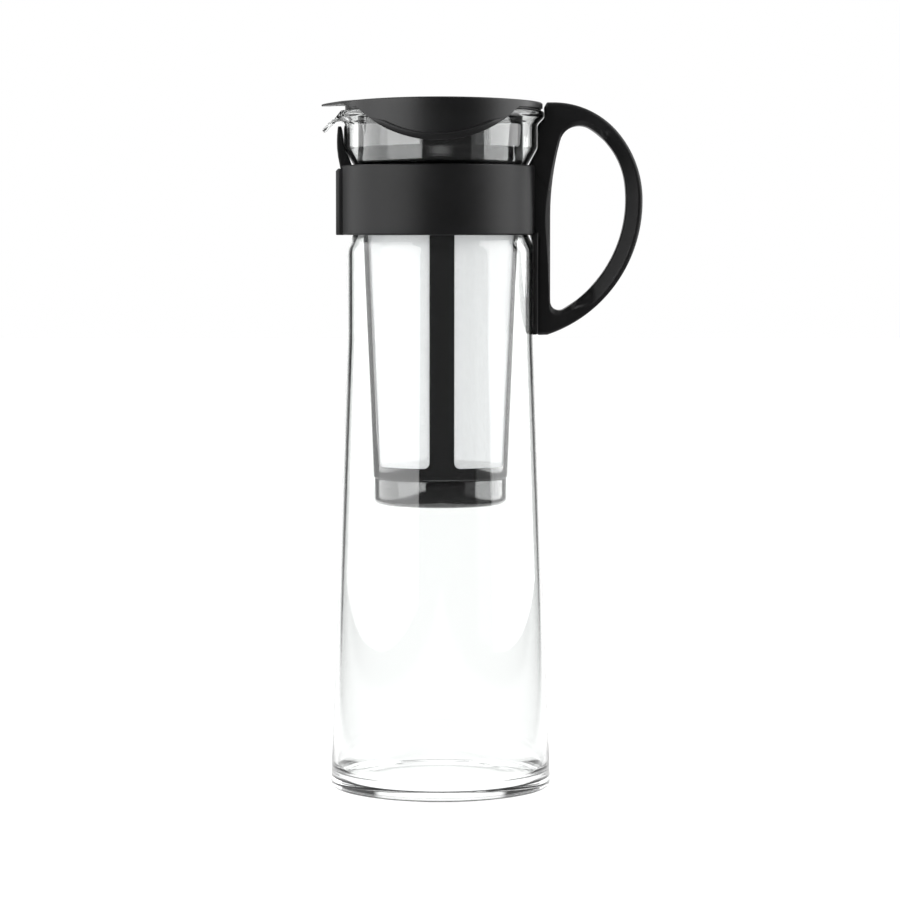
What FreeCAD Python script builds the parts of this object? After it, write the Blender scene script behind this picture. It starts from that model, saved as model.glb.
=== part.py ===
import FreeCAD, Part
import math
import os

# Cold brew coffee maker: a waisted glass jug with a turned-down pouring lip, a moulded band
# and D-shaped handle round its waist, a slide-on clip that closes the band under the lip,
# a strainer that hangs in the neck, and a lid that lifts off with two finger flaps.
# Lengths are in millimetres and angles in degrees.
# The origin is on the table under the middle of the jug. +Z is up, +X points to the handle
# and -X to the pouring lip.

V = FreeCAD.Vector
UP = V(0, 0, 1)

# Rounded corners of turned pieces are cut into short cones, which keeps their mesh light.
RUN_TURN = 45.0  # degrees of a corner that one straight run stands for
OVERRUN = 1.0  # how far a piece that is about to be trimmed runs past its finished edge
TOUCH = 0.01  # how near to a face an edge lies when it counts as being on it

# Jug
JUG_HEIGHT = 293.4
GLASS_WALL = 2.2
FOOT_RADIUS = 48.0
FOOT_CORNER = 3.5
BASE_THICKNESS = 5.0
BASE_INNER_CORNER = 7.0
PUNT_RADIUS = FOOT_RADIUS - 10.0
PUNT_DEPTH = 0.8
BODY_RADIUS = FOOT_RADIUS - 7.2
WAIST_RADIUS = BODY_RADIUS - 4.1
NECK_RADIUS = BODY_RADIUS + 0.9
NECK_BLEND = 8.0
RIM_RADIUS = NECK_RADIUS + 2.9
RIM_UNDERSIDE = JUG_HEIGHT - 2.7
RIM_EDGE = 0.8
FLARE_FOOT = RIM_UNDERSIDE - 3.1
NECK_FOOT = FLARE_FOOT - 10.1
WAIST_HEAD = NECK_FOOT - 8.9
WAIST_FOOT = WAIST_HEAD - 26.2
SHOULDER_TOP = WAIST_FOOT - 8.2
SHOULDER_BLEND = 10.0
TAPER_TOP = SHOULDER_TOP - 39.2

# Pouring lip
LIP_BEND_FOOT = RIM_UNDERSIDE - 2.7
LIP_BEND_RADIUS = 2.9
LIP_BEND_ANGLE = 135.0
LIP_BEND_STEPS = 3
LIP_CROSS_STEPS = 4
LIP_LENGTH = 7.0
LIP_SHOULDER_LENGTH = LIP_LENGTH - 2.1
LIP_ROOT_HALF_WIDTH = 10.0
LIP_SHOULDER_HALF_WIDTH = 8.5
LIP_TIP_HALF_WIDTH = 5.5
LIP_THICKNESS = GLASS_WALL + 0.1
LIP_ROOT_THICKNESS = GLASS_WALL - 0.6
LIP_TROUGH_RADIUS = 38.0

# Band round the waist
GLASS_CLEARANCE = 0.2
BAND_FOOT = WAIST_FOOT - 2.4
BAND_HEAD = WAIST_HEAD + 1.4
BAND_RADIUS = WAIST_RADIUS + 5.4
BAND_SHIFT = 0.9
BAND_EDGE = 0.6
SPLIT_WIDTH = 0.8

# Clip and its rails
CLIP_HEIGHT = BAND_HEAD - BAND_FOOT - 1.4
CLIP_REACH = BAND_RADIUS + 3.0
CLIP_HALF_WIDTH = 7.9
CLIP_CORNER = 2.2
CLIP_CHAMFER = 1.1
CLIP_CLEARANCE = 0.3
RAIL_SEAT = BAND_RADIUS - 0.9
RAIL_REACH = RAIL_SEAT + 2.1
RAIL_ROOT_HALF_WIDTH = 3.4
RAIL_TOP_HALF_WIDTH = 4.6
RAIL_HEIGHT = BAND_HEAD - BAND_FOOT - 5.0

# Tongue behind the pouring lip
TONGUE_HEAD = RIM_UNDERSIDE - 3.9
TONGUE_BULGE_Z = TONGUE_HEAD - 7.8
TONGUE_FOOT = BAND_HEAD - 4.0
TONGUE_ROOT_REACH = NECK_RADIUS + 1.6
TONGUE_BULGE_REACH = NECK_RADIUS + 3.2
TONGUE_HEAD_REACH = NECK_RADIUS + 2.7
TONGUE_HALF_WIDTH = 6.2
TONGUE_CORNER = 2.0

# Handle
HANDLE_WIDTH = 16.0
HANDLE_INNER_X = WAIST_RADIUS + 1.3
HANDLE_WAIST_X = WAIST_RADIUS + 3.5
HANDLE_NECK_X = NECK_RADIUS + 1.5
HANDLE_NECK_Z = RIM_UNDERSIDE - 4.7
HANDLE_HEAD_X = RIM_RADIUS + 1.6
HANDLE_START = (HANDLE_HEAD_X + 2.5, JUG_HEIGHT + 3.6)
HANDLE_HEADING = 0.0
HANDLE_ARCS = ((37.7, 50.9), (44.5, 37.3), (60.4, 74.0))  # (radius, degrees) round the outside
HANDLE_EDGE = 1.2
SADDLE_HALF_WIDTH = 11.0
SADDLE_THICKNESS = 1.7

# Finger opening of the handle
OPENING_START = (HANDLE_START[0] - 1.35, HANDLE_START[1] - 48.2)
OPENING_HEADING = 90.0
OPENING_ARCS = ((129.5, 14.9), (9.0, 106.9), (33.6, 51.1), (57.0, 66.1), (4.1, 121.0))
OPENING_EDGE = 1.5

# Slanting sides of the grip
GRIP_RIM = 1.6
GRIP_TAPER_DEPTH = 3.2
GRIP_TAPER_STEPS = 13
GRIP_TAPER_RIM_SPAN = (0.19, 0.83)  # shares of the rim's length
GRIP_TAPER_OPENING_SPAN = (0.36, 0.91)  # shares of the opening's length
GRIP_TAPER_FOOT = (HANDLE_START[0] + 2.7, HANDLE_START[1] - 90.7)
GRIP_TAPER_HEAD = (HANDLE_START[0] + 13.3, HANDLE_START[1] - 13.5)

# Lid
LID_CLEARANCE = 0.3
LID_SIDE_REACH = RIM_RADIUS - 0.5
LID_SIDE_CURVE = 62.8
LID_CORNER = 9.0
LID_EDGE_FOOT = JUG_HEIGHT + 1.4
LID_EDGE_HEIGHT = LID_EDGE_FOOT + 2.8
LID_DOME_RISE = 1.2
LID_DOME_STEPS = 3
LID_EDGE_CHAMFER = 0.6
LID_SEAT_RADIUS = RIM_RADIUS - 1.2
LID_PLATE = 2.4
FLAP_RIM_CLEARANCE = 0.6
FLAP_THICKNESS = 2.0
FLAP_HEIGHT = 15.1
FLAP_FOOT = LID_EDGE_FOOT - FLAP_HEIGHT
FLAP_CURVE = 47.8
FLAP_CENTRE_X = -1.1
FLAP_LIP_HEIGHT = 1.9
FLAP_LIP_REACH = 1.3
FLAP_LIP_HALF_WIDTH = 26.0
PLUG_RADIUS = RIM_RADIUS - GLASS_WALL - 1.2
PLUG_WALL = 1.8
PLUG_DEPTH = 2.2
BEAK_ROOT_X = 8.1 - LID_SIDE_REACH
BEAK_ROOT_HALF_WIDTH = 19.0
BEAK_ROOT_THICKNESS = 1.4
BEAK_SHOULDER_X = -LID_SIDE_REACH - 3.4
BEAK_SHOULDER_HALF_WIDTH = 6.2
BEAK_TIP_X = BEAK_SHOULDER_X - 3.9
BEAK_TIP_HEIGHT = LID_EDGE_HEIGHT - 1.4
BEAK_TIP_THICKNESS = 0.5

# Strainer
SEAT_CLEARANCE = 0.3
STRAINER_WALL = 2.2
COLLAR_HEAD = JUG_HEIGHT - 1.3
COLLAR_RADIUS = NECK_RADIUS - GLASS_WALL - 3.7
THROAT_RADIUS = WAIST_RADIUS - GLASS_WALL - 0.6
THROAT_FOOT = WAIST_FOOT + 3.6
CAGE_HEIGHT = 110.8
CAGE_FOOT = THROAT_FOOT - CAGE_HEIGHT
CAGE_FOOT_RADIUS = THROAT_RADIUS - 4.9
WINDOW_HEAD = THROAT_FOOT - 3.0
WINDOW_FOOT = CAGE_FOOT + 5.3
WINDOW_OUTER_CORNER = 1.5
WINDOW_INNER_CORNER = 2.6
RIB_WIDTH = 10.4
SIDE_RIB_DEPTH = 3.1
STRAINER_TURN = 1.2  # degrees
MESH_RECESS = 0.4
MESH_THICKNESS = 0.5
MESH_FLATS = 36
SPIGOT_RADIUS = CAGE_FOOT_RADIUS - 2.7
SPIGOT_LENGTH = 7.0
SPIGOT_WALL = 1.7

# Strainer cap
CAP_CLEARANCE = 0.3
CAP_RADIUS = CAGE_FOOT_RADIUS - 0.6
CAP_FLOOR = 1.8
CAP_FOOT = CAGE_FOOT - SPIGOT_LENGTH - 4.7
CAP_CORNER = 2.2


def inset(corners, distance):
    """Moves a path of (radius, height, blend) corners sideways to the left of its travel."""
    moved = []
    last = len(corners) - 1
    for i, (r, z, blend) in enumerate(corners):
        before = corners[max(i - 1, 0)]
        after = corners[min(i + 1, last)]
        in_angle = math.atan2(z - before[1], r - before[0])
        out_angle = math.atan2(after[1] - z, after[0] - r)
        if i == 0:
            in_angle = out_angle
        if i == last:
            out_angle = in_angle
        turn = out_angle - in_angle
        middle = in_angle + turn / 2 + math.pi / 2
        reach = distance / math.cos(turn / 2)
        new_blend = blend
        if blend:
            new_blend = max(blend - math.copysign(distance, turn), 0.2)
        moved.append((r + reach * math.cos(middle), z + reach * math.sin(middle), new_blend))
    return moved


def path_points(corners):
    """Points of a closed path whose rounded corners are cut into short straight runs."""
    points = []
    count = len(corners)
    for i, (r, z, blend) in enumerate(corners):
        corner = V(r, 0, z)
        if not blend:
            points.append(corner)
            continue
        to_before = (V(corners[i - 1][0], 0, corners[i - 1][1]) - corner).normalize()
        after = corners[(i + 1) % count]
        to_after = (V(after[0], 0, after[1]) - corner).normalize()
        half = to_before.getAngle(to_after) / 2
        centre = corner + (to_before + to_after).normalize() * (blend / math.sin(half))
        first = corner + to_before * (blend / math.tan(half)) - centre
        last = corner + to_after * (blend / math.tan(half)) - centre
        turn = math.pi - 2 * half
        runs = max(1, round(math.degrees(turn) / RUN_TURN))
        for step in range(runs + 1):
            share = step / runs
            before_share = math.sin((1 - share) * turn) / math.sin(turn)
            after_share = math.sin(share * turn) / math.sin(turn)
            points.append(centre + first * before_share + last * after_share)
    return points


def revolved(corners, start_angle=0.0, sweep=360.0):
    """A turned solid about Z from a closed path of (radius, height, blend) corners."""
    points = path_points(corners)
    face = Part.Face(Part.makePolygon(points + points[:1]))
    face.rotate(V(0, 0, 0), UP, start_angle)
    return face.revolve(V(0, 0, 0), UP, sweep)


def prism_y(edges, half_width):
    """Extrudes a closed outline in the XZ plane by the same distance to both sides."""
    face = Part.Face(Part.Wire(edges))
    face.translate(V(0, -half_width, 0))
    return face.extrude(V(0, 2 * half_width, 0))


def prism_z(points, foot, head):
    """Extrudes a closed plan outline of (x, y) points from one height to another."""
    corners = [V(x, y, foot) for x, y in points]
    face = Part.Face(Part.makePolygon(corners + corners[:1]))
    return face.extrude(V(0, 0, head - foot))


def lines_through(points):
    """Straight edges from each point to the next."""
    return [Part.makeLine(a, b) for a, b in zip(points, points[1:])]


def at(x, z):
    """A point in the middle plane."""
    return V(x, 0, z)


def direction(angle):
    """Unit vector in the XZ plane, counted from +X towards +Z."""
    return V(math.cos(math.radians(angle)), 0, math.sin(math.radians(angle)))


def tangent_arcs(start, heading, arcs):
    """Clockwise arcs, each (radius, sweep), that run on smoothly from a start and heading."""
    point = at(*start)
    edges = []
    for radius, sweep in arcs:
        outward = heading + 90
        centre = point - direction(outward) * radius
        middle = centre + direction(outward - sweep / 2) * radius
        end = centre + direction(outward - sweep) * radius
        edges.append(Part.Arc(point, middle, end).toShape())
        point, heading = end, heading - sweep
    return edges


def edges_where(shape, test):
    """The edges of a shape whose middle point passes a test."""
    found = []
    for edge in shape.Edges:
        middle = edge.valueAt((edge.FirstParameter + edge.LastParameter) / 2)
        if test(middle):
            found.append(edge)
    return found


def one_solid(shape):
    """The single solid that a boolean operation leaves, without its seams."""
    clean = shape.removeSplitter()
    if len(clean.Solids) != 1:
        raise ValueError(f"expected one solid, found {len(clean.Solids)}")
    return clean.Solids[0]


def jug_outside():
    """Outer corners of the jug from its foot to the top of its rim."""
    return [
        (FOOT_RADIUS, 0, FOOT_CORNER),
        (BODY_RADIUS, TAPER_TOP, 0),
        (BODY_RADIUS, SHOULDER_TOP, SHOULDER_BLEND),
        (WAIST_RADIUS, WAIST_FOOT, 0),
        (WAIST_RADIUS, WAIST_HEAD, 0),
        (NECK_RADIUS, NECK_FOOT, NECK_BLEND),
        (NECK_RADIUS, FLARE_FOOT, 0),
        (RIM_RADIUS, RIM_UNDERSIDE, 0),
        (RIM_RADIUS, JUG_HEIGHT, RIM_EDGE),
    ]


def jug_envelope(clearance):
    """The filled outer form of the jug, grown by a clearance, for cutting what hugs it."""
    grown = inset(jug_outside(), -clearance)[:-1]
    foot, head = -clearance, JUG_HEIGHT + clearance
    rim = (RIM_RADIUS + clearance, head, RIM_EDGE)
    return revolved([(0, foot, 0)] + grown + [rim, (0, head, 0)])


def lip_stations():
    """Centre, travel direction, half width and thickness of each section of the pouring lip."""
    bend_centre = at(GLASS_WALL / 2 - NECK_RADIUS - LIP_BEND_RADIUS, LIP_BEND_FOOT)
    stations = []
    for step in range(LIP_BEND_STEPS + 1):
        share = step / LIP_BEND_STEPS
        angle = LIP_BEND_ANGLE * share
        centre = bend_centre + direction(angle) * LIP_BEND_RADIUS
        growth = (LIP_THICKNESS - LIP_ROOT_THICKNESS) * min(2 * share, 1)
        thickness = LIP_ROOT_THICKNESS + growth
        stations.append((centre, direction(angle + 90), LIP_ROOT_HALF_WIDTH, thickness))
    bend_end, travel = stations[-1][:2]
    for length, half_width in (
        (LIP_SHOULDER_LENGTH, LIP_SHOULDER_HALF_WIDTH),
        (LIP_LENGTH, LIP_TIP_HALF_WIDTH),
    ):
        stations.append((bend_end + travel * length, travel, half_width, LIP_THICKNESS))
    return stations


def lip_section(centre, travel, half_width, thickness):
    """A strip across the lip, hollow on its upper side like a shallow gutter."""
    upper = V(travel.z, 0, -travel.x)
    across = []
    for step in range(LIP_CROSS_STEPS + 1):
        side = half_width * (2 * step / LIP_CROSS_STEPS - 1)
        across.append(centre + V(0, side, 0) + upper * (side ** 2 / (2 * LIP_TROUGH_RADIUS)))
    lower = [point - upper * (thickness / 2) for point in across]
    higher = [point + upper * (thickness / 2) for point in reversed(across)]
    return Part.makePolygon(lower + higher + lower[:1])


def make_glass_jug():
    """Glass jug with a waist, a flared rim and a pouring lip turned down from the rim."""
    outside = jug_outside()
    inside = inset(outside, GLASS_WALL)
    mouth = (RIM_RADIUS - GLASS_WALL, JUG_HEIGHT, RIM_EDGE)
    floor = [(inside[0][0], BASE_THICKNESS, BASE_INNER_CORNER), (0, BASE_THICKNESS, 0)]
    punt_edge = PUNT_RADIUS + 2 * PUNT_DEPTH
    punt = [(0, PUNT_DEPTH, 0), (PUNT_RADIUS, PUNT_DEPTH, 0), (punt_edge, 0, 0)]
    body = revolved(punt + outside + [mouth] + inside[-2:0:-1] + floor)
    lip = Part.makeLoft([lip_section(*station) for station in lip_stations()], True, True)
    crest = LIP_BEND_FOOT + LIP_BEND_RADIUS + LIP_THICKNESS / 2
    gutter_axis = V(-RIM_RADIUS - WAIST_RADIUS / 2, 0, crest + LIP_TROUGH_RADIUS)
    gutter = Part.makeCylinder(LIP_TROUGH_RADIUS, RIM_RADIUS, gutter_axis, V(1, 0, 0))
    plug_foot = V(0, 0, JUG_HEIGHT - PLUG_DEPTH)
    plug_way = Part.makeCylinder(PLUG_RADIUS + LID_CLEARANCE, JUG_HEIGHT, plug_foot)
    return one_solid(body.fuse(lip).cut([gutter, plug_way]))


def handle_plate():
    """The flat D-shaped handle with its finger opening and slanting grip."""
    arcs = tangent_arcs(HANDLE_START, HANDLE_HEADING, HANDLE_ARCS)
    foot = arcs[-1].lastVertex().Point
    head = arcs[0].firstVertex().Point
    inner_side = lines_through(
        [
            foot,
            at(HANDLE_INNER_X, foot.z),
            at(HANDLE_INNER_X, BAND_HEAD),
            at(HANDLE_WAIST_X, BAND_HEAD),
            at(HANDLE_NECK_X, HANDLE_NECK_Z),
            at(HANDLE_HEAD_X, head.z),
            head,
        ]
    )
    half = HANDLE_WIDTH / 2
    plate = prism_y(arcs + inner_side, half)
    rim = edges_where(plate, lambda p: abs(abs(p.y) - half) < TOUCH and p.x > HANDLE_HEAD_X)
    plate = plate.makeChamfer(HANDLE_EDGE, rim)

    opening_arcs = tangent_arcs(OPENING_START, OPENING_HEADING, OPENING_ARCS)
    spine = lines_through([opening_arcs[-1].lastVertex().Point, opening_arcs[0].firstVertex().Point])
    opening = prism_y(opening_arcs + spine, HANDLE_WIDTH)
    plate = plate.cut(opening)
    reach = HANDLE_START[0] + HANDLE_ARCS[0][0] / 2
    lip = edges_where(
        plate,
        lambda p: abs(abs(p.y) - half) < TOUCH and opening.isInside(p, TOUCH, True) and p.x < reach,
    )
    plate = plate.makeChamfer(OPENING_EDGE, lip)
    for side in (-1, 1):
        plate = plate.cut(grip_taper(side))
    return plate


def span_of(edges, span, count):
    """Evenly spaced points along part of a chain of edges, from one share to another."""
    wire = Part.Wire(edges)
    fine = wire.discretize(Number=201)
    first, last = (share * (len(fine) - 1) for share in span)
    return [fine[round(first + (last - first) * i / (count - 1))] for i in range(count)]


def grip_taper(side):
    """The wedge that slants one side of the grip from its outer rim to the finger opening."""
    rim_arcs = [(radius - GRIP_RIM, sweep) for radius, sweep in HANDLE_ARCS]
    rim_start = (HANDLE_START[0], HANDLE_START[1] - GRIP_RIM)
    rim = tangent_arcs(rim_start, HANDLE_HEADING, rim_arcs)
    opening = tangent_arcs(OPENING_START, OPENING_HEADING, OPENING_ARCS)
    half = HANDLE_WIDTH / 2
    outlines = []
    for edges, span, depth in (
        (rim, GRIP_TAPER_RIM_SPAN, 0),
        (opening, GRIP_TAPER_OPENING_SPAN, GRIP_TAPER_DEPTH),
    ):
        along = span_of(edges, span, GRIP_TAPER_STEPS)
        points = along + [at(*GRIP_TAPER_FOOT), at(*GRIP_TAPER_HEAD)]
        outline = Part.makePolygon(points + points[:1])
        outline.translate(V(0, side * (half - depth), 0))
        outlines.append(outline)
    return Part.makeLoft(outlines, True, True)


def saddle():
    """Wings of the spine that lie along the glass below the band."""
    reach = BODY_RADIUS + SADDLE_THICKNESS
    spread = math.degrees(math.asin(SADDLE_HALF_WIDTH / reach))
    foot = tangent_arcs(HANDLE_START, HANDLE_HEADING, HANDLE_ARCS)[-1].lastVertex().Point.z
    head = BAND_FOOT + BAND_EDGE
    profile = [
        (HANDLE_INNER_X, foot, 0),
        (reach, foot, 0),
        (reach, head, 0),
        (HANDLE_INNER_X, head, 0),
    ]
    return revolved(profile, -spread, 2 * spread)


def tongue():
    """The upright tongue of the band behind the pouring lip."""
    spread = math.degrees(math.asin(TONGUE_HALF_WIDTH / TONGUE_BULGE_REACH))
    profile = [
        (HANDLE_INNER_X, TONGUE_FOOT, 0),
        (RAIL_SEAT, TONGUE_FOOT, 0),
        (RAIL_SEAT, BAND_FOOT + CLIP_HEIGHT + CLIP_CLEARANCE, 0),
        (TONGUE_ROOT_REACH, BAND_FOOT + CLIP_HEIGHT + CLIP_CLEARANCE, 0),
        (TONGUE_BULGE_REACH, TONGUE_BULGE_Z, 0),
        (TONGUE_HEAD_REACH, TONGUE_HEAD, 0),
        (HANDLE_INNER_X, TONGUE_HEAD, 0),
    ]
    sector = revolved(profile, 180 - spread, 2 * spread)
    top_corners = edges_where(
        sector, lambda p: p.z > TONGUE_HEAD - TOUCH and abs(p.y) > TONGUE_HALF_WIDTH / 2
    )
    return sector.makeChamfer(TONGUE_CORNER, top_corners)


def dovetail(root, top, inner, outer, foot, head):
    """A bar on the spout side that widens from its root half width to its top half width."""
    points = [(-inner, -root), (-outer, -top), (-outer, top), (-inner, root)]
    return prism_z(points, foot, head)


def make_handle_band():
    """One moulding: the split band, its tongue and clip rails, and the handle with its spine."""
    ring = Part.makeCylinder(BAND_RADIUS, BAND_HEAD - BAND_FOOT, V(-BAND_SHIFT, 0, BAND_FOOT))
    middle = (BAND_FOOT + BAND_HEAD) / 2
    ring = ring.makeChamfer(BAND_EDGE, edges_where(ring, lambda p: abs(p.z - middle) > TOUCH))
    body = ring.fuse([tongue(), handle_plate(), saddle()])

    clip_head = BAND_FOOT + CLIP_HEIGHT + CLIP_CLEARANCE
    pocket_half = CLIP_HALF_WIDTH + CLIP_CLEARANCE
    pocket_plan = [
        (-RAIL_SEAT, -pocket_half),
        (-CLIP_REACH, -pocket_half),
        (-CLIP_REACH, pocket_half),
        (-RAIL_SEAT, pocket_half),
    ]
    pocket = prism_z(pocket_plan, BAND_FOOT, clip_head)
    rail = dovetail(
        RAIL_ROOT_HALF_WIDTH,
        RAIL_TOP_HALF_WIDTH,
        RAIL_SEAT,
        RAIL_REACH,
        BAND_FOOT,
        BAND_FOOT + RAIL_HEIGHT,
    )
    body = body.cut(pocket).fuse(rail).cut(jug_envelope(GLASS_CLEARANCE))

    gap = SPLIT_WIDTH / 2
    foot_gap = BAND_FOOT + RAIL_HEIGHT
    tongue_edge = TONGUE_HALF_WIDTH + SPLIT_WIDTH
    splits = [
        ((-gap, gap), (BAND_FOOT, foot_gap + SPLIT_WIDTH)),
        ((-gap, tongue_edge), (foot_gap, foot_gap + SPLIT_WIDTH)),
        ((tongue_edge - SPLIT_WIDTH, tongue_edge), (foot_gap, BAND_HEAD)),
    ]
    for (y_low, y_high), (z_low, z_high) in splits:
        outline = [
            (GLASS_WALL - WAIST_RADIUS, y_low),
            (-CLIP_REACH, y_low),
            (-CLIP_REACH, y_high),
            (GLASS_WALL - WAIST_RADIUS, y_high),
        ]
        body = body.cut(prism_z(outline, z_low, z_high))
    return one_solid(body)


def make_band_clip():
    """The clip that slides up over both rails and holds the band shut."""
    inner = RAIL_SEAT + CLIP_CLEARANCE
    corner = CLIP_CORNER
    half = CLIP_HALF_WIDTH
    outline = [
        (-inner, -half),
        (corner - CLIP_REACH, -half),
        (-CLIP_REACH, corner - half),
        (-CLIP_REACH, half - corner),
        (corner - CLIP_REACH, half),
        (-inner, half),
    ]
    head = BAND_FOOT + CLIP_HEIGHT
    block = prism_z(outline, BAND_FOOT, head)
    top_edge = edges_where(block, lambda p: p.z > head - TOUCH and p.x < corner / 2 - CLIP_REACH)
    block = block.makeChamfer(CLIP_CHAMFER, top_edge)
    flare = (RAIL_TOP_HALF_WIDTH - RAIL_ROOT_HALF_WIDTH) / (RAIL_REACH - RAIL_SEAT)
    channel = dovetail(
        RAIL_ROOT_HALF_WIDTH + CLIP_CLEARANCE,
        RAIL_TOP_HALF_WIDTH + CLIP_CLEARANCE * (1 + flare),
        RAIL_SEAT,
        RAIL_REACH + CLIP_CLEARANCE,
        BAND_FOOT,
        head,
    )
    return one_solid(block.cut(channel))


def lid_plan(radius, foot, head):
    """A round plate flattened at the spout and handle sides, with soft corners."""
    plate = Part.makeCylinder(radius, head - foot, V(0, 0, foot))
    for side in (-1, 1):
        centre = V(side * (LID_SIDE_REACH - LID_SIDE_CURVE), 0, foot)
        plate = plate.common(Part.makeCylinder(LID_SIDE_CURVE, head - foot, centre))
    uprights = edges_where(
        plate, lambda p: abs(p.z - (foot + head) / 2) < TOUCH and abs(p.y) > radius / 4
    )
    return plate.makeFillet(LID_CORNER, uprights)


def smile_band(low, high, half_width):
    """A prism between two arcs that curve like the flaps' lower edge, at these heights."""
    edges = []
    ends = []
    for foot in (low, high):
        centre = at(FLAP_CENTRE_X, foot + FLAP_CURVE)
        drop = math.sqrt(FLAP_CURVE ** 2 - half_width ** 2)
        left = centre + V(-half_width, 0, -drop)
        right = centre + V(half_width, 0, -drop)
        edges.append(Part.Arc(left, centre - UP * FLAP_CURVE, right).toShape())
        ends.append((left, right))
    for i in (0, 1):
        edges.append(Part.makeLine(ends[0][i], ends[1][i]))
    return prism_y(Part.sortEdges(edges)[0], 2 * RIM_RADIUS)


def flap_ring(radius, low, high, half_width):
    """The part of a skirt under the lid that lies between two smiling arcs."""
    ring = lid_plan(radius, FLAP_FOOT - OVERRUN, LID_EDGE_FOOT)
    inner = Part.makeCylinder(RIM_RADIUS + FLAP_RIM_CLEARANCE, LID_EDGE_FOOT)
    return ring.cut(inner).common(smile_band(low, high, half_width))


def make_lid():
    """Lid with a low dome, a beak over the pouring lip and a finger flap on each side."""
    seat_z = JUG_HEIGHT + LID_CLEARANCE
    flap_outer = RIM_RADIUS + FLAP_RIM_CLEARANCE + FLAP_THICKNESS
    apex = LID_EDGE_HEIGHT + LID_DOME_RISE
    disc = lid_plan(flap_outer, LID_EDGE_FOOT, LID_EDGE_HEIGHT)
    top_edge = edges_where(disc, lambda p: abs(p.z - LID_EDGE_HEIGHT) < TOUCH)
    disc = disc.makeChamfer(LID_EDGE_CHAMFER, top_edge)

    dome_radius = LID_SIDE_REACH - LID_EDGE_CHAMFER
    dome = [(0, LID_EDGE_FOOT, 0), (dome_radius, LID_EDGE_FOOT, 0)]
    for step in range(LID_DOME_STEPS, -1, -1):
        share = step / LID_DOME_STEPS
        dome.append((dome_radius * share, apex - LID_DOME_RISE * share ** 2, 0))

    seat = Part.makeCylinder(LID_SEAT_RADIUS, LID_EDGE_FOOT - seat_z, V(0, 0, seat_z))
    plug_foot = seat_z - PLUG_DEPTH
    plug = Part.makeCylinder(PLUG_RADIUS, LID_EDGE_FOOT - plug_foot, V(0, 0, plug_foot))
    recess_height = apex - LID_PLATE - plug_foot
    recess = Part.makeCylinder(PLUG_RADIUS - PLUG_WALL, recess_height, V(0, 0, plug_foot))

    flap_rise = LID_EDGE_FOOT - FLAP_FOOT
    flap_half = math.sqrt(FLAP_CURVE ** 2 - (FLAP_CURVE - flap_rise) ** 2)
    skirt = flap_ring(flap_outer, FLAP_FOOT, LID_EDGE_FOOT, flap_half)
    lip_head = FLAP_FOOT + FLAP_LIP_HEIGHT
    lip = flap_ring(flap_outer + FLAP_LIP_REACH, FLAP_FOOT, lip_head, FLAP_LIP_HALF_WIDTH)
    return one_solid(disc.fuse([revolved(dome), seat, plug, skirt, lip, beak()]).cut(recess))


def beak():
    """The thin beak that reaches out over the pouring lip."""
    root_drop = LID_DOME_RISE * (BEAK_ROOT_X / LID_SIDE_REACH) ** 2
    root_head = LID_EDGE_HEIGHT + LID_DOME_RISE - root_drop
    side = lines_through(
        [
            at(BEAK_ROOT_X, root_head),
            at(BEAK_TIP_X, BEAK_TIP_HEIGHT),
            at(BEAK_TIP_X, BEAK_TIP_HEIGHT - BEAK_TIP_THICKNESS),
            at(BEAK_ROOT_X, root_head - BEAK_ROOT_THICKNESS),
            at(BEAK_ROOT_X, root_head),
        ]
    )
    wedge = prism_y(side, BEAK_ROOT_HALF_WIDTH)
    root, shoulder = BEAK_ROOT_HALF_WIDTH, BEAK_SHOULDER_HALF_WIDTH
    low = BEAK_TIP_HEIGHT - 2 * BEAK_ROOT_THICKNESS
    left_root, right_root = V(BEAK_ROOT_X, root, low), V(BEAK_ROOT_X, -root, low)
    left, right = V(BEAK_SHOULDER_X, shoulder, low), V(BEAK_SHOULDER_X, -shoulder, low)
    outline = [
        Part.makeLine(left_root, left),
        Part.Arc(left, V(BEAK_TIP_X, 0, low), right).toShape(),
        Part.makeLine(right, right_root),
        Part.makeLine(right_root, left_root),
    ]
    plan = Part.Face(Part.Wire(outline)).extrude(UP * (LID_EDGE_HEIGHT - low + LID_DOME_RISE))
    return wedge.common(plan)


def seat_line():
    """Two points of the glass shoulder's inner side, moved in by the seat clearance."""
    corners = inset(jug_outside(), GLASS_WALL + SEAT_CLEARANCE)
    return corners[4][:2], corners[5][:2]


def seat_height(radius):
    """Height at which the strainer's seat has this radius."""
    (r_low, z_low), (r_high, z_high) = seat_line()
    return z_low + (radius - r_low) * (z_high - z_low) / (r_high - r_low)


def strainer_outside():
    """Outer corners of the strainer from its foot to the top of its collar."""
    return [
        (CAGE_FOOT_RADIUS, CAGE_FOOT, 0),
        (THROAT_RADIUS, THROAT_FOOT, 0),
        (THROAT_RADIUS, seat_height(THROAT_RADIUS), 0),
        (COLLAR_RADIUS, seat_height(COLLAR_RADIUS), 0),
        (COLLAR_RADIUS, COLLAR_HEAD, 0),
    ]


def cage_radius(z):
    """Outer radius of the tapered cage at a height."""
    share = (z - CAGE_FOOT) / (THROAT_FOOT - CAGE_FOOT)
    return CAGE_FOOT_RADIUS + (THROAT_RADIUS - CAGE_FOOT_RADIUS) * share


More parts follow.
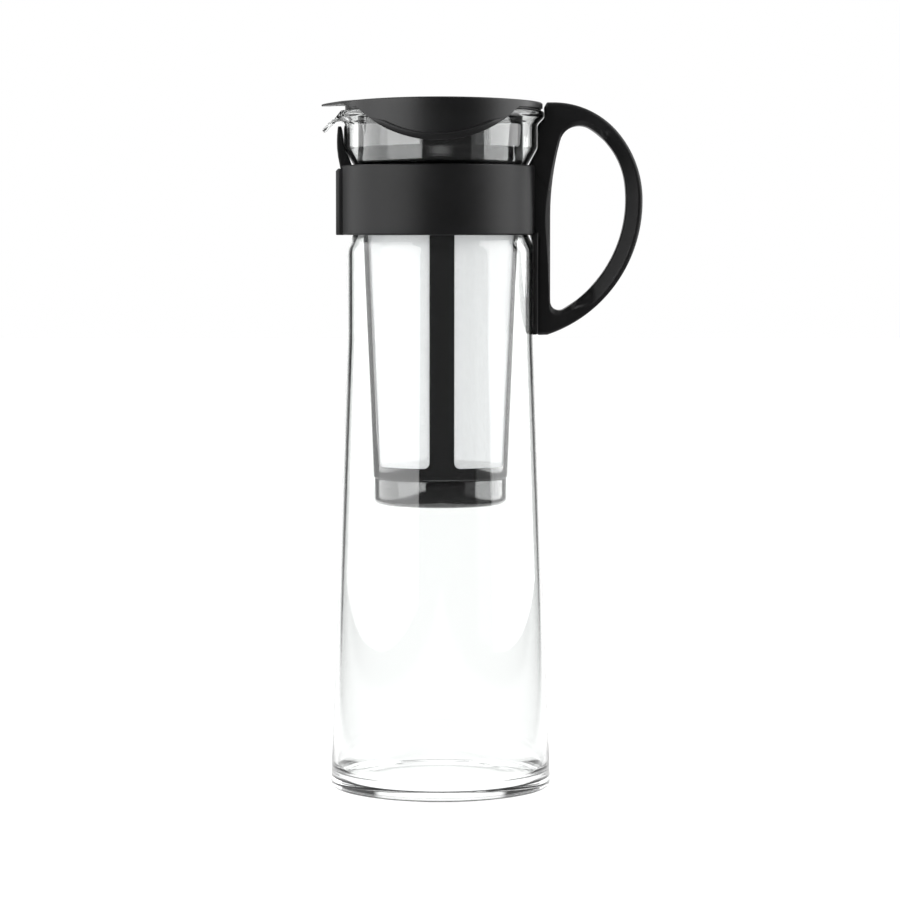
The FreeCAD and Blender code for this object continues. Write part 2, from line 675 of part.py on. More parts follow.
def window_cutter(side_x, side_y):
    """The straight cut of one window, drawn to the front or back as its mould core pulls."""
    inner = RIB_WIDTH / 2
    outer_low = cage_radius(WINDOW_FOOT) - SIDE_RIB_DEPTH
    outer_high = cage_radius(WINDOW_HEAD) - SIDE_RIB_DEPTH
    points = path_points(
        [
            (inner, WINDOW_FOOT, WINDOW_INNER_CORNER),
            (outer_low, WINDOW_FOOT, WINDOW_OUTER_CORNER),
            (outer_high, WINDOW_HEAD, WINDOW_OUTER_CORNER),
            (inner, WINDOW_HEAD, WINDOW_INNER_CORNER),
        ]
    )
    face = Part.Face(Part.makePolygon([V(side_x * p.x, 0, p.z) for p in points + points[:1]]))
    return face.extrude(V(0, side_y * COLLAR_RADIUS, 0))


def window_cutters():
    """The four windows' cuts, two to the front and two to the back."""
    return [window_cutter(x, y) for y in (-1, 1) for x in (-1, 1)]


def turned(shape):
    """A piece of the strainer as it stands in the neck, turned slightly about its axis."""
    return shape.rotate(V(0, 0, 0), UP, STRAINER_TURN)


def make_strainer_frame():
    """Collar, throat and four-ribbed cage in one moulding, with a spigot for the cap."""
    outside = strainer_outside()
    inside = inset(outside, STRAINER_WALL)[::-1]
    collar_inner = (COLLAR_RADIUS - STRAINER_WALL, COLLAR_HEAD, 0)
    spigot_foot = CAGE_FOOT - SPIGOT_LENGTH
    spigot = [
        (SPIGOT_RADIUS - SPIGOT_WALL, spigot_foot, 0),
        (SPIGOT_RADIUS, spigot_foot, 0),
        (SPIGOT_RADIUS, CAGE_FOOT, 0),
    ]
    inner_foot = (SPIGOT_RADIUS - SPIGOT_WALL, CAGE_FOOT, 0)
    frame = revolved(spigot + outside + [collar_inner] + inside[1:] + [inner_foot])
    for cutter in window_cutters():
        frame = frame.cut(cutter)
    return one_solid(frame)


def make_mesh_panels():
    """Fine mesh laid in narrow flats in each window, a little behind the face of the ribs."""
    turn = 2 * math.pi / MESH_FLATS
    sleeve = []
    for depth in (MESH_RECESS, MESH_RECESS + MESH_THICKNESS):
        rings = []
        for z in (WINDOW_FOOT - OVERRUN, WINDOW_HEAD + OVERRUN):
            radius = cage_radius(z) - depth
            angles = [step * turn for step in range(MESH_FLATS + 1)]
            points = [V(radius * math.cos(a), radius * math.sin(a), z) for a in angles]
            rings.append(Part.makePolygon(points))
        sleeve.append(Part.makeLoft(rings, True, True))
    outer, inner = sleeve
    return [one_solid(outer.cut(inner).common(cutter)) for cutter in window_cutters()]


def make_strainer_cap():
    """Cup that closes the strainer's foot and pulls off its spigot."""
    head = CAGE_FOOT - CAP_CLEARANCE
    bore = SPIGOT_RADIUS + CAP_CLEARANCE
    floor = CAP_FOOT + CAP_FLOOR
    return revolved(
        [
            (0, CAP_FOOT, 0),
            (CAP_RADIUS, CAP_FOOT, CAP_CORNER),
            (CAP_RADIUS, head, 0),
            (bore, head, 0),
            (bore, floor, 0),
            (0, floor, 0),
        ]
    )


def main():
    """Writes one STEP file per piece."""
    os.makedirs("parts", exist_ok=True)
    pieces = {
        "glass_jug": make_glass_jug(),
        "handle_band": make_handle_band(),
        "band_clip": make_band_clip(),
        "lid": make_lid(),
        "strainer_frame": turned(make_strainer_frame()),
        "strainer_cap": turned(make_strainer_cap()),
    }
    for number, panel in enumerate(make_mesh_panels(), start=1):
        pieces[f"mesh_panel_{number}"] = turned(panel)
    for name, shape in pieces.items():
        if not shape.isValid() or len(shape.Solids) != 1:
            raise ValueError(f"{name} is not one valid solid")
        shape.exportStep(f"parts/{name}.step")


main()
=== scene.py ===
import math

import bmesh
import bpy
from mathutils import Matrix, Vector


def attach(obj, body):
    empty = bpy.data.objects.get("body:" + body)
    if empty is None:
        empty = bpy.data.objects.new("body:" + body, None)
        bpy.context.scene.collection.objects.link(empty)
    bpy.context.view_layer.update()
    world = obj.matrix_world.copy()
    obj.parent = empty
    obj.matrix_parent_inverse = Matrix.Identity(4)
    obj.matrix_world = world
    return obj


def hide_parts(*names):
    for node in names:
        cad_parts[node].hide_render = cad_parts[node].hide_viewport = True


# The looks of a cold brew coffee maker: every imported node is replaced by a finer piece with
# rounded edges and a procedural material. The shapes are worked out in millimetres, in the
# frame of the CAD model, with +X towards the handle and -X towards the pouring lip.

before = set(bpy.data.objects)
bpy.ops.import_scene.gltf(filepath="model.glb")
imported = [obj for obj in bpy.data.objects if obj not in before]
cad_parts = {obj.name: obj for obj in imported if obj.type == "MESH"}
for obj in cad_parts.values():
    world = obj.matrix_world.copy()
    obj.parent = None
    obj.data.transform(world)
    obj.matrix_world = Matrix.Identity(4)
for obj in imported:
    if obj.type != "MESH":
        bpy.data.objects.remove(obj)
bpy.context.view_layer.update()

MM = 0.001
SHARP_ANGLE = math.radians(35)
ARC_STEP = math.radians(10)
TURNED_COLUMNS = 180
WELD_DISTANCE = 0.004
LEAST_EDGE = 0.002

# Jug
GLASS_WALL = 2.2
BASE_THICKNESS = 3.4
PUNT_DEPTH = 0.5
PUNT_RADIUS = 36.0
PUNT_SLOPE_WIDTH = 5.0
PUNT_BLENDS = (6.0, 4.0)
BASE_INNER_CORNER = 8.0
NECK_TOP = 287.6
RIM_RADIUS = 44.6
RIM_BLENDS = (0.9, 1.2)
JUG_HEIGHT = 293.4
JUG_OUTSIDE = (
    (48.0, 0.0, 2.2),
    (40.8, 195.0, 200.0),
    (40.8, 234.2, 10.0),
    (36.7, 242.4, 4.0),
    (36.7, 268.6, 4.0),
    (41.7, 277.5, 4.0),
    (41.7, NECK_TOP, 3.0),
    (RIM_RADIUS, 290.7, 1.5),
    (RIM_RADIUS, JUG_HEIGHT, RIM_BLENDS[0]),
)
JUG_ROW_SPACING = 12.0
JUG_COLUMNS = 116

# Pouring lip, as the path of the middle of the glass wall
LIP_FOOT = 284.0
LIP_WALL_RADIUS = 40.6
LIP_BEND_FOOT = 287.5
LIP_BEND_RADIUS = 2.9
LIP_BEND = math.radians(135)
LIP_LENGTH = 7.3
LIP_FULL_ANGLE = math.radians(5)
LIP_END_ANGLE = math.radians(16)
LIP_FINE_ANGLE = math.radians(20)
LIP_COLUMNS = 56
LIP_HALF_WALL = 1.15
FLARE_HEIGHT = 3.1
FLARE_SLOPE = 0.935

# Band, tongue, saddle and rails
BAND_FOOT = 240.0
BAND_HEAD = 270.0
BAND_RADIUS = 42.1
BAND_SHIFT = 0.9
BAND_EDGE = 0.8
BAND_BORE = (
    (38.2, BAND_HEAD, 0.3),
    (37.1, 268.4, 1.0),
    (37.1, 243.2, 1.0),
    (38.6, BAND_FOOT, 0.3),
)
BAND_ROW_SPACING = 8.0
POCKET_REACH = 41.2
POCKET_HALF_WIDTH = 8.2
POCKET_HEAD = 268.9
TONGUE_PATH = (
    (38.6, 41.0, 266.0),
    (38.6, 43.6, 268.9),
    (38.9, 43.9, 270.5),
    (39.9, 44.5, 273.5),
    (41.6, 44.9, 277.0),
    (42.1, 45.0, 280.0),
    (42.5, 44.9, 283.0),
    (42.8, 44.6, 285.6),
    (43.0, 44.3, 286.8),
)
TONGUE_HALF_WIDTH = 6.2
TONGUE_CORNER = 3.6
TONGUE_EDGE = 0.6
TONGUE_ROW_SPACING = 1.0
SADDLE_INNER = 41.0
SADDLE_OUTER = 43.2
SADDLE_FOOT = 197.2
SADDLE_HALF_WIDTH = 10.6
SADDLE_EDGE = 0.7
SADDLE_CORNER = 0.3
SADDLE_FOOT_RISE = 0.5
SADDLE_BEND = 236.0
SADDLE_HEAD = 241.0
SADDLE_SINK = 1.2
SADDLE_ROW_SPACING = 6.0
RAIL_SEAT = 41.2
RAIL_REACH = 43.3
RAIL_ROOT_HALF_WIDTH = 3.4
RAIL_TOP_HALF_WIDTH = 4.6
RAIL_HEIGHT = 25.0
RAIL_SINK = 0.6
RAIL_FOOT_RISE = 0.4
SPLIT_WIDTH = 0.8
CUT_START = 34.0
CUT_END = 50.0
CUT_OVERRUN = 1.0

# Clip
CLIP_HEIGHT = 28.6
CLIP_INNER = 41.5
CLIP_REACH = 45.1
CLIP_HALF_WIDTH = 7.9
CLIP_CORNER = 2.2
CLIP_SHOULDER = 1.1
CLIP_CLEARANCE = 0.3
CLIP_EDGE = 0.3
CLIP_SHOULDER_RUN = 0.25
CLIP_CHANNEL_CORNER = 0.2

# Handle
HANDLE_HALF_WIDTH = 8.0
HANDLE_START = (48.7, 297.0)
HANDLE_ARCS = ((37.7, 50.9), (44.5, 37.3), (60.4, 74.0))
HANDLE_SQUEEZE = 0.979
HANDLE_BACK = (
    (41.6, 196.9, 1.0),
    (41.6, 238.0, 1.0),
    (39.4, 242.0, 1.0),
    (39.4, 269.0, 0.5),
    (38.0, 270.0, 0.5),
    (39.8, 273.5, 3.0),
    (41.9, 277.4, 4.0),
    (41.9, 287.4, 3.0),
    (44.8, 290.6, 1.2),
    (44.8, 295.0, 1.0),
    (45.8, 297.0, 0.8),
)
HANDLE_EDGE = 1.6
OPENING_START = (47.35, 248.4)
OPENING_ARCS = ((125.1, 14.9), (8.7, 106.9), (32.5, 51.1), (55.1, 66.1), (3.96, 121.0))
OPENING_BEVEL = 2.3
GRIP_BEVEL = 0.7
OPENING_MIDDLE = Vector((57.0, 247.0))
GRIP_RIM = 2.0
GRIP_SLANT = 3.2
GRIP_HEAD_ANGLES = (math.radians(68.7), math.radians(71.5))
GRIP_FOOT_ANGLES = (math.radians(-77.0), math.radians(-91.0))
GRIP_CREASE = math.radians(4.5)
GRIP_FACE_STEPS = 8
EDGE_STEPS = 5
HANDLE_POINT_SPACING = 1.5
OPENING_BEVEL_SECTION = ((0.12, 0.06), (0.5, 0.42), (0.82, 0.76), (0.96, 0.95), (1.0, 1.2))

# Lid
LID_RADIUS = 47.2
LID_SIDE_REACH = 44.1
LID_SIDE_CURVE = 62.8
LID_PLAN_SOFTNESS = 0.45
LID_APEX = 298.8
LID_DOME_RISE = 1.2
LID_END_DROP = 0.75
LID_SIDE_RISE = 0.45
LID_UNDERSIDE = 294.4
LID_EDGE = 0.8
LID_EDGE_SHARE = 0.42
LID_TOP_SHARES = (0, 0.12, 0.25, 0.4, 0.55, 0.7, 0.8, 0.88, 0.94)
LID_COLUMNS = 360
LID_LEAST_WALL = 0.5
FLAP_INNER = 45.2
FLAP_FOOT = 279.7
FLAP_CURVE = 47.8
FLAP_CENTRE = -1.1
FLAP_LIP_HEIGHT = 3.0
FLAP_LIP_REACH = 1.29
FLAP_LIP_HALF_WIDTH = 31.0
FLAP_LIP_FADE = 10.0
FLAP_LIP_SECTION = (
    (0.5, 0.99),
    (0.85, 0.94),
    (1.0, 0.84),
    (0.97, 0.7),
    (0.6, 0.12),
    (0.48, 0.03),
    (0.3, 0.0),
)
SEAT_RADIUS = 43.4
SEAT_HEIGHT = 293.7
PLUG_RADIUS = 41.2
PLUG_WALL = 1.8
PLUG_FOOT = 291.5
RECESS_HEAD = 296.4
RECESS_MIDDLE_RADIUS = 20.0
BEAK_ROOT = 36.0
BEAK_TIP = 51.4
BEAK_TIP_HEIGHT = 296.2
BEAK_TIP_THICKNESS = 0.7
BEAK_DROOP = 0.0047
BEAK_ROOT_HALF_WIDTH = 19.0
BEAK_SHOULDER = 47.5
BEAK_SHOULDER_HALF_WIDTH = 6.2
BEAK_UNDERSIDE = 296.2
BEAK_EDGE_START = 41.4
BEAK_SOFTNESS = 0.35
BEAK_RUN_IN = 4.0
BEAK_HALVINGS = 40
BEAK_CLEAR_ANGLES = (math.radians(21), math.radians(35))
SEAT_CLEAR_ANGLES = (math.radians(24), math.radians(32))

# Strainer and its cap
CAGE_FOOT = (29.4, 135.2)
CAGE_HEAD = (33.9, 246.0)
STRAINER_OUTSIDE = (
    (26.3, 128.2, 0.4),
    (26.3, 135.2, 0.3),
    (*CAGE_FOOT, 0.5),
    (*CAGE_HEAD, 6.0),
    (33.9, 268.5, 3.0),
    (35.8, 272.1, 4.0),
    (35.8, 292.1, 0.7),
)
STRAINER_INSIDE = (
    (33.6, 292.1, 0.7),
    (33.6, 272.6, 4.0),
    (31.7, 269.1, 3.0),
    (31.7, 246.0, 6.0),
    (27.2, 135.4, 0.5),
    (24.6, 135.2, 0.5),
    (24.6, 128.2, 0.4),
)
WINDOW_FOOT = 140.5
WINDOW_HEAD = 243.0
RIB_HALF_WIDTH = 5.2
SIDE_RIB_DEPTH = 3.1
WINDOW_INNER_CORNER = 2.6
WINDOW_OUTER_CORNER = 1.5
STRAINER_TURN = math.radians(1.2)
MESH_RECESS = 0.55
MESH_OVERLAP = 0.6
MESH_SIDE_OVERLAP = 0.5
MESH_ROWS = 28
MESH_COLUMNS = 24
MESH_WEAVE_RADIUS = 30.0
WINDOW_CUT_REACH = 40.0
CAP_FOOT = 123.5
CAP_FLOOR = 125.3
CAP_OUTLINE = (
    (0, CAP_FOOT, 0),
    (28.9, CAP_FOOT, 2.8),
    (28.9, 134.9, 0.4),
    (26.6, 134.9, 0.3),
    (26.6, CAP_FLOOR, 1.0),
    (0, CAP_FLOOR, 0),
)

# Camera and studio
CAMERA_DISTANCE = 1450.0
CAMERA_HEIGHT = 242.0
CAMERA_SIDE = 4.1
SENSOR_WIDTH = 36.0
PHOTO_WIDTH = 390.6
PHOTO_MIDDLE_HEIGHT = 146.7
SHEET_EDGE = (0.90, 0.93)
SHEET_LEVEL = 1.14
SHEET_HALF_WIDTH = (0.12, 0.2)
SHEET_SPREAD = 0.42
FRONT_EDGE = (-0.4, -0.6)
FLOOR_FRONT_EDGE = (0.0, -0.05)
FLOOR_FRONT_SPREAD = 0.3
ROOM_LEVEL = 0.05
AMBIENT = 0.3
FLOOR_REACH = 6.0
FLOOR_LIFT = 0.45
FLOOR_WHITENS = (0.15, 0.7)
FLOOR_ASIDE = 0.12
PANEL_DISTANCE = 0.95
PANEL_HEIGHT = 1.6
SIDE_PANELS = (
    ("left_front", -1, -2.04, -0.25, 3.0),
    ("left_back", -1, -0.25, 0.8, 1.8),
    ("right_dim", 1, -1.05, -0.53, 0.35),
    ("right_main", 1, -0.53, 0.8, 3.2),
)
OVERHEAD_LEVEL = 1.0
OVERHEAD_SIZE = (1.2, 1.0)
OVERHEAD_PLACE = (0, 0.1, 1.7)


def fillet(corners, closed=True):
    """Rounds the (a, b, radius) corners of a path in its own plane and lists its points."""
    points = []
    last = len(corners) - 1
    for i, (a, b, radius) in enumerate(corners):
        corner = Vector((a, b))
        if not radius or (not closed and i in (0, last)):
            points.append(corner)
            continue
        before = corners[i - 1]
        after = corners[(i + 1) % len(corners)]
        to_before = Vector((before[0], before[1])) - corner
        to_after = Vector((after[0], after[1])) - corner
        room = min(to_before.length, to_after.length) * 0.49
        to_before.normalize()
        to_after.normalize()
        half = to_before.angle(to_after) / 2
        radius = min(radius, room * math.tan(half))
        middle = corner + (to_before + to_after).normalized() * (radius / math.sin(half))
        first = corner + to_before * (radius / math.tan(half)) - middle
        second = corner + to_after * (radius / math.tan(half)) - middle
        turn = math.pi - 2 * half
        runs = max(2, math.ceil(turn / ARC_STEP))
        for step in range(runs + 1):
            share = step / runs
            spread = math.sin((1 - share) * turn) * first + math.sin(share * turn) * second
            points.append(middle + spread / math.sin(turn))
    return points


def inset(corners, distance):
    """Moves an open path of (radius, height, blend) corners to the left of its travel."""
    moved = []
    last = len(corners) - 1
    for i, (a, b, radius) in enumerate(corners):
        before = corners[max(i - 1, 0)]
        after = corners[min(i + 1, last)]
        arriving = math.atan2(b - before[1], a - before[0])
        leaving = math.atan2(after[1] - b, after[0] - a)
        if i == 0:
            arriving = leaving
        if i == last:
            leaving = arriving
        turn = leaving - arriving
        side = arriving + turn / 2 + math.pi / 2
        reach = distance / math.cos(turn / 2)
        softened = max(radius - math.copysign(distance, turn), 0.8)
        moved.append((a + reach * math.cos(side), b + reach * math.sin(side), softened))
    return moved


def smooth(value):
    """Eases a share between 0 and 1."""
    share = min(max(value, 0.0), 1.0)
    return share * share * (3 - 2 * share)


def spaced(points, spacing):
    """Adds points on the long runs of a path, so that they are no longer than a spacing."""
    filled = [points[0]]
    for a, b in zip(points, points[1:]):
        runs = max(1, math.ceil((b - a).length / spacing))
        filled.extend(a.lerp(b, step / runs) for step in range(1, runs + 1))
    return filled


def skin(name, rows, wrap_rows=True, wrap_points=True, caps=False):
    """A mesh of quads over rows of points in millimetres, closed where it is told to."""
    width = len(rows[0])
    points = [tuple(value * MM for value in point) for row in rows for point in row]
    faces = []
    row_count = len(rows) if wrap_rows else len(rows) - 1
    point_count = width if wrap_points else width - 1
    for i in range(row_count):
        for j in range(point_count):
            k, m = (i + 1) % len(rows), (j + 1) % width
            faces.append((i * width + j, i * width + m, k * width + m, k * width + j))
    if caps:
        faces.append(tuple(range(width - 1, -1, -1)))
        first = (len(rows) - 1) * width
        faces.append(tuple(range(first, first + width)))
    mesh = bpy.data.meshes.new(name)
    mesh.from_pydata(points, [], faces)
    return tidy(name, mesh)


def tidy(name, mesh):
    """Welds a mesh, turns its faces outwards, shades it and puts it in the scene."""
    work = bmesh.new()
    work.from_mesh(mesh)
    bmesh.ops.remove_doubles(work, verts=work.verts, dist=WELD_DISTANCE * MM)
    bmesh.ops.dissolve_degenerate(work, edges=work.edges, dist=LEAST_EDGE * MM)
    bmesh.ops.recalc_face_normals(work, faces=work.faces)
    work.to_mesh(mesh)
    work.free()
    mesh.shade_smooth()
    mesh.set_sharp_from_angle(angle=SHARP_ANGLE)
    piece = bpy.data.objects.new(name, mesh)
    bpy.context.collection.objects.link(piece)
    return piece


def turned(name, profile, offset=0.0, wrap_points=True):
    """A turned mesh about Z, or about an axis moved along X, from a (radius, height) path."""
    rows = []
    for step in range(TURNED_COLUMNS):
        angle = 2 * math.pi * step / TURNED_COLUMNS
        rows.append([(p[0] * math.cos(angle) + offset, p[0] * math.sin(angle), p[1]) for p in profile])
    return skin(name, rows, wrap_points=wrap_points)


def join(name, pieces):
    """Joins several meshes into one piece."""
    work = bmesh.new()
    for piece in pieces:
        work.from_mesh(piece.data)
        bpy.data.objects.remove(piece)
    mesh = bpy.data.meshes.new(name)
    work.to_mesh(mesh)
    work.free()
    mesh.shade_smooth()
    mesh.set_sharp_from_angle(angle=SHARP_ANGLE)
    piece = bpy.data.objects.new(name, mesh)
    bpy.context.collection.objects.link(piece)
    return piece


def cut(piece, cutters):
    """Cuts other meshes out of a piece and removes them."""
    for cutter in cutters:
        modifier = piece.modifiers.new("cut", "BOOLEAN")
        modifier.operation = "DIFFERENCE"
        modifier.solver = "EXACT"
        modifier.object = cutter
    bpy.context.view_layer.update()
    depsgraph = bpy.context.evaluated_depsgraph_get()
    mesh = bpy.data.meshes.new_from_object(piece.evaluated_get(depsgraph))
    piece.modifiers.clear()
    piece.data = mesh
    mesh.shade_smooth()
    mesh.set_sharp_from_angle(angle=SHARP_ANGLE)
    for cutter in cutters:
        bpy.data.objects.remove(cutter)
    return piece


def prism(name, outline, axis, low, high):
    """A straight bar along Y or Z from a closed outline in the plane across it."""
    rows = []
    for place in (low, high):
        if axis == "Y":
            rows.append([(a, place, b) for a, b in outline])
        else:
            rows.append([(a, b, place) for a, b in outline])
    return skin(name, rows, wrap_rows=False, caps=True)


def tangent_arcs(start, heading, arcs, step=2.0):
    """Points along clockwise arcs, each (radius, degrees), that run on smoothly."""
    point = Vector(start)
    points = [point.copy()]
    for radius, sweep in arcs:
        outward = heading + math.pi / 2
        centre = point - Vector((math.cos(outward), math.sin(outward))) * radius
        turn = math.radians(sweep)
        runs = max(2, math.ceil(turn / math.radians(step)))
        for i in range(1, runs + 1):
            angle = outward - turn * i / runs
            points.append(centre + Vector((math.cos(angle), math.sin(angle))) * radius)
        point = points[-1].copy()
        heading -= turn
    return points


def jug_columns():
    """Angles round the jug, closer together at the pouring lip."""
    fine = LIP_FINE_ANGLE
    angles = [math.pi - fine + 2 * fine * step / LIP_COLUMNS for step in range(LIP_COLUMNS + 1)]
    rest = 2 * math.pi - 2 * fine
    angles += [math.pi + fine + rest * step / JUG_COLUMNS for step in range(1, JUG_COLUMNS)]
    return angles


def lip_place(travel, offset):
    """A point of the turned-down lip: how far along the wall's middle, and how far outside it."""
    straight = LIP_BEND_FOOT - LIP_FOOT
    arc = LIP_BEND_RADIUS * LIP_BEND
    centre = LIP_WALL_RADIUS + LIP_BEND_RADIUS
    if travel <= straight:
        return LIP_WALL_RADIUS + offset, LIP_FOOT + travel
    if travel <= straight + arc:
        turn = (travel - straight) / LIP_BEND_RADIUS
        reach = LIP_BEND_RADIUS - offset
        return centre - reach * math.cos(turn), LIP_BEND_FOOT + reach * math.sin(turn)
    past = travel - straight - arc
    reach = LIP_BEND_RADIUS - offset
    r = centre - reach * math.cos(LIP_BEND) + past * math.sin(LIP_BEND)
    z = LIP_BEND_FOOT + reach * math.sin(LIP_BEND) + past * math.cos(LIP_BEND)
    return r, z


def jug_profile():
    """The section of the glass as one path: under the base, up outside, over the rim and down."""
    inside = inset(JUG_OUTSIDE, GLASS_WALL)
    mouth = (RIM_RADIUS - GLASS_WALL, JUG_HEIGHT, RIM_BLENDS[0])
    below_mouth = (inside[-2][0], inside[-2][1], RIM_BLENDS[1])
    under = [(0, PUNT_DEPTH, 0), (PUNT_RADIUS, PUNT_DEPTH, PUNT_BLENDS[0]),
             (PUNT_RADIUS + PUNT_SLOPE_WIDTH, 0, PUNT_BLENDS[1])]
    floor = [(inside[0][0], BASE_THICKNESS, BASE_INNER_CORNER), (0, BASE_THICKNESS, 0)]
    outer = fillet(under + list(JUG_OUTSIDE) + [mouth, below_mouth], closed=False)
    inner = fillet([mouth] + [inside[-2]] + inside[-3:0:-1] + floor, closed=False)
    return spaced(outer[:-1], JUG_ROW_SPACING) + spaced(inner[1:], JUG_ROW_SPACING)


def press_lip(r, z, weight):
    """Moves a point of the wall towards its place in the pouring lip."""
    if weight == 0 or z <= LIP_FOOT:
        return r, z
    flare = max(0.0, min(z - NECK_TOP, FLARE_HEIGHT)) * FLARE_SLOPE
    offset = r - (LIP_WALL_RADIUS + flare)
    share = (z - LIP_FOOT) / (JUG_HEIGHT - LIP_FOOT)
    full = LIP_BEND_FOOT - LIP_FOOT + LIP_BEND_RADIUS * LIP_BEND + LIP_LENGTH
    lip_r, lip_z = lip_place(full * share, max(-LIP_HALF_WALL, min(LIP_HALF_WALL, offset)))
    return r + (lip_r - r) * weight, z + (lip_z - z) * weight


def make_jug():
    """Glass jug in one skin, its wall pressed out and down into the pouring lip."""
    profile = jug_profile()
    rows = []
    for angle in jug_columns():
        off = abs(angle - math.pi)
        weight = 1 - smooth((off - LIP_FULL_ANGLE) / (LIP_END_ANGLE - LIP_FULL_ANGLE))
        pressed = [press_lip(r, z, weight) for r, z in profile]
        rows.append([(r * math.cos(angle), r * math.sin(angle), z) for r, z in pressed])
    return skin("jug_glass", rows, wrap_points=False)


def sector_bar(name, path, half_width, end_radius, corner):
    """A bar of rounded section curved about the jug's axis, on the -X side, from foot to head."""
    head = path[-1][2]
    rows = []
    for inner, outer, z in path:
        drop = max(0.0, z - (head - corner))
        width = half_width - corner + math.sqrt(max(corner ** 2 - drop ** 2, 0.04))
        middle, depth = (inner + outer) / 2, (outer - inner) / 2
        round_off = min(end_radius, depth * 0.95)
        section = fillet(
            [(-width, -depth, round_off), (width, -depth, round_off),
             (width, depth, round_off), (-width, depth, round_off)]
        )
        row = []
        for y, d in section:
            radius = middle + d
            angle = math.pi + y / middle
            row.append((radius * math.cos(angle), radius * math.sin(angle), z))
        rows.append(row)
    return skin(name, rows, wrap_rows=False, caps=True)


def dense_path(path, spacing):
    """Adds stations between those of a (inner, outer, height) path."""
    filled = [path[0]]
    for a, b in zip(path, path[1:]):
        runs = max(1, math.ceil((b[2] - a[2]) / spacing))
        for step in range(1, runs + 1):
            filled.append(tuple(p + (q - p) * step / runs for p, q in zip(a, b)))
    return filled


def make_band_ring():
    """The band itself, hugging the waist, with its pocket and its stepped split cut out."""
    outside = [(BAND_RADIUS, BAND_FOOT, BAND_EDGE), (BAND_RADIUS, BAND_HEAD, BAND_EDGE)]
    profile = fillet(outside + list(BAND_BORE))
    path = spaced(profile + profile[:1], BAND_ROW_SPACING)[:-1]
    ring = turned("band_ring", path, offset=-BAND_SHIFT)
    low = BAND_FOOT - CUT_OVERRUN
    pocket_plan = [(-POCKET_REACH, -POCKET_HALF_WIDTH), (-CUT_END, -POCKET_HALF_WIDTH),
                   (-CUT_END, POCKET_HALF_WIDTH), (-POCKET_REACH, POCKET_HALF_WIDTH)]
    gap = SPLIT_WIDTH / 2
    step_z = BAND_FOOT + RAIL_HEIGHT
    edge = TONGUE_HALF_WIDTH
    slots = (
        ((-gap, gap), (low, step_z + SPLIT_WIDTH)),
        ((-gap, edge + SPLIT_WIDTH), (step_z, step_z + SPLIT_WIDTH)),
        ((edge, edge + SPLIT_WIDTH), (step_z, BAND_HEAD + CUT_OVERRUN)),
    )
    cutters = [prism("pocket_cut", pocket_plan, "Z", low, POCKET_HEAD)]
    for (y_low, y_high), (z_low, z_high) in slots:
        plan = [(-CUT_START, y_low), (-CUT_END, y_low), (-CUT_END, y_high), (-CUT_START, y_high)]
        cutters.append(prism("split_cut", plan, "Z", z_low, z_high))
    return cut(ring, cutters)


def make_rail(side):
    """One half of the dovetail that the clip slides over."""
    gap = SPLIT_WIDTH / 2
    root = RAIL_SINK - RAIL_SEAT
    plan = fillet([(root, side * gap, 0), (-RAIL_REACH, side * gap, 0.3),
                   (-RAIL_REACH, side * RAIL_TOP_HALF_WIDTH, 0.4),
                   (-RAIL_SEAT, side * RAIL_ROOT_HALF_WIDTH, 0),
                   (root, side * RAIL_ROOT_HALF_WIDTH, 0)])
    return prism("rail", plan, "Z", BAND_FOOT + RAIL_FOOT_RISE, BAND_FOOT + RAIL_HEIGHT)


def ray_reach(outline, direction):
    """How far a ray from the opening's middle runs to a closed outline."""
    best = None
    for a, b in zip(outline, outline[1:] + outline[:1]):
        edge = b - a
        start = a - OPENING_MIDDLE
        cross = direction.x * edge.y - direction.y * edge.x
        if abs(cross) < 1e-9:
            continue
        reach = (start.x * edge.y - start.y * edge.x) / cross
        share = (start.x * direction.y - start.y * direction.x) / cross
        if reach > 0 and -1e-6 <= share <= 1 + 1e-6 and (best is None or reach > best):
            best = reach
    return best


def grip_share(angle, head, foot):
    """1 along the grip, easing to 0 past the angles of its head and foot."""
    return smooth((head - angle) / GRIP_CREASE) * smooth((angle - foot) / GRIP_CREASE)


def handle_section(width, angle):
    """The front half of the handle's section, as (depth from the outside, distance aside) points."""
    half = HANDLE_HALF_WIDTH
    middling = grip_share(angle, GRIP_HEAD_ANGLES[0], GRIP_FOOT_ANGLES[0])
    bevel = OPENING_BEVEL + (GRIP_BEVEL - OPENING_BEVEL) * middling
    front = []
    for step in range(EDGE_STEPS + 1):
        turn = math.pi / 2 * step / EDGE_STEPS
        front.append((HANDLE_EDGE * (1 - math.cos(turn)), half - HANDLE_EDGE * (1 - math.sin(turn))))
    for step in range(GRIP_FACE_STEPS + 1):
        share = step / GRIP_FACE_STEPS
        head = GRIP_HEAD_ANGLES[0] + (GRIP_HEAD_ANGLES[1] - GRIP_HEAD_ANGLES[0]) * share
        foot = GRIP_FOOT_ANGLES[0] + (GRIP_FOOT_ANGLES[1] - GRIP_FOOT_ANGLES[0]) * share
        drop = GRIP_SLANT * grip_share(angle, head, foot) * share
        front.append((GRIP_RIM + (width - bevel - GRIP_RIM) * share, half - drop))
    last = front[-1][1]
    for across, down in OPENING_BEVEL_SECTION:
        front.append((width - bevel + bevel * across, last - bevel * down))
    return front


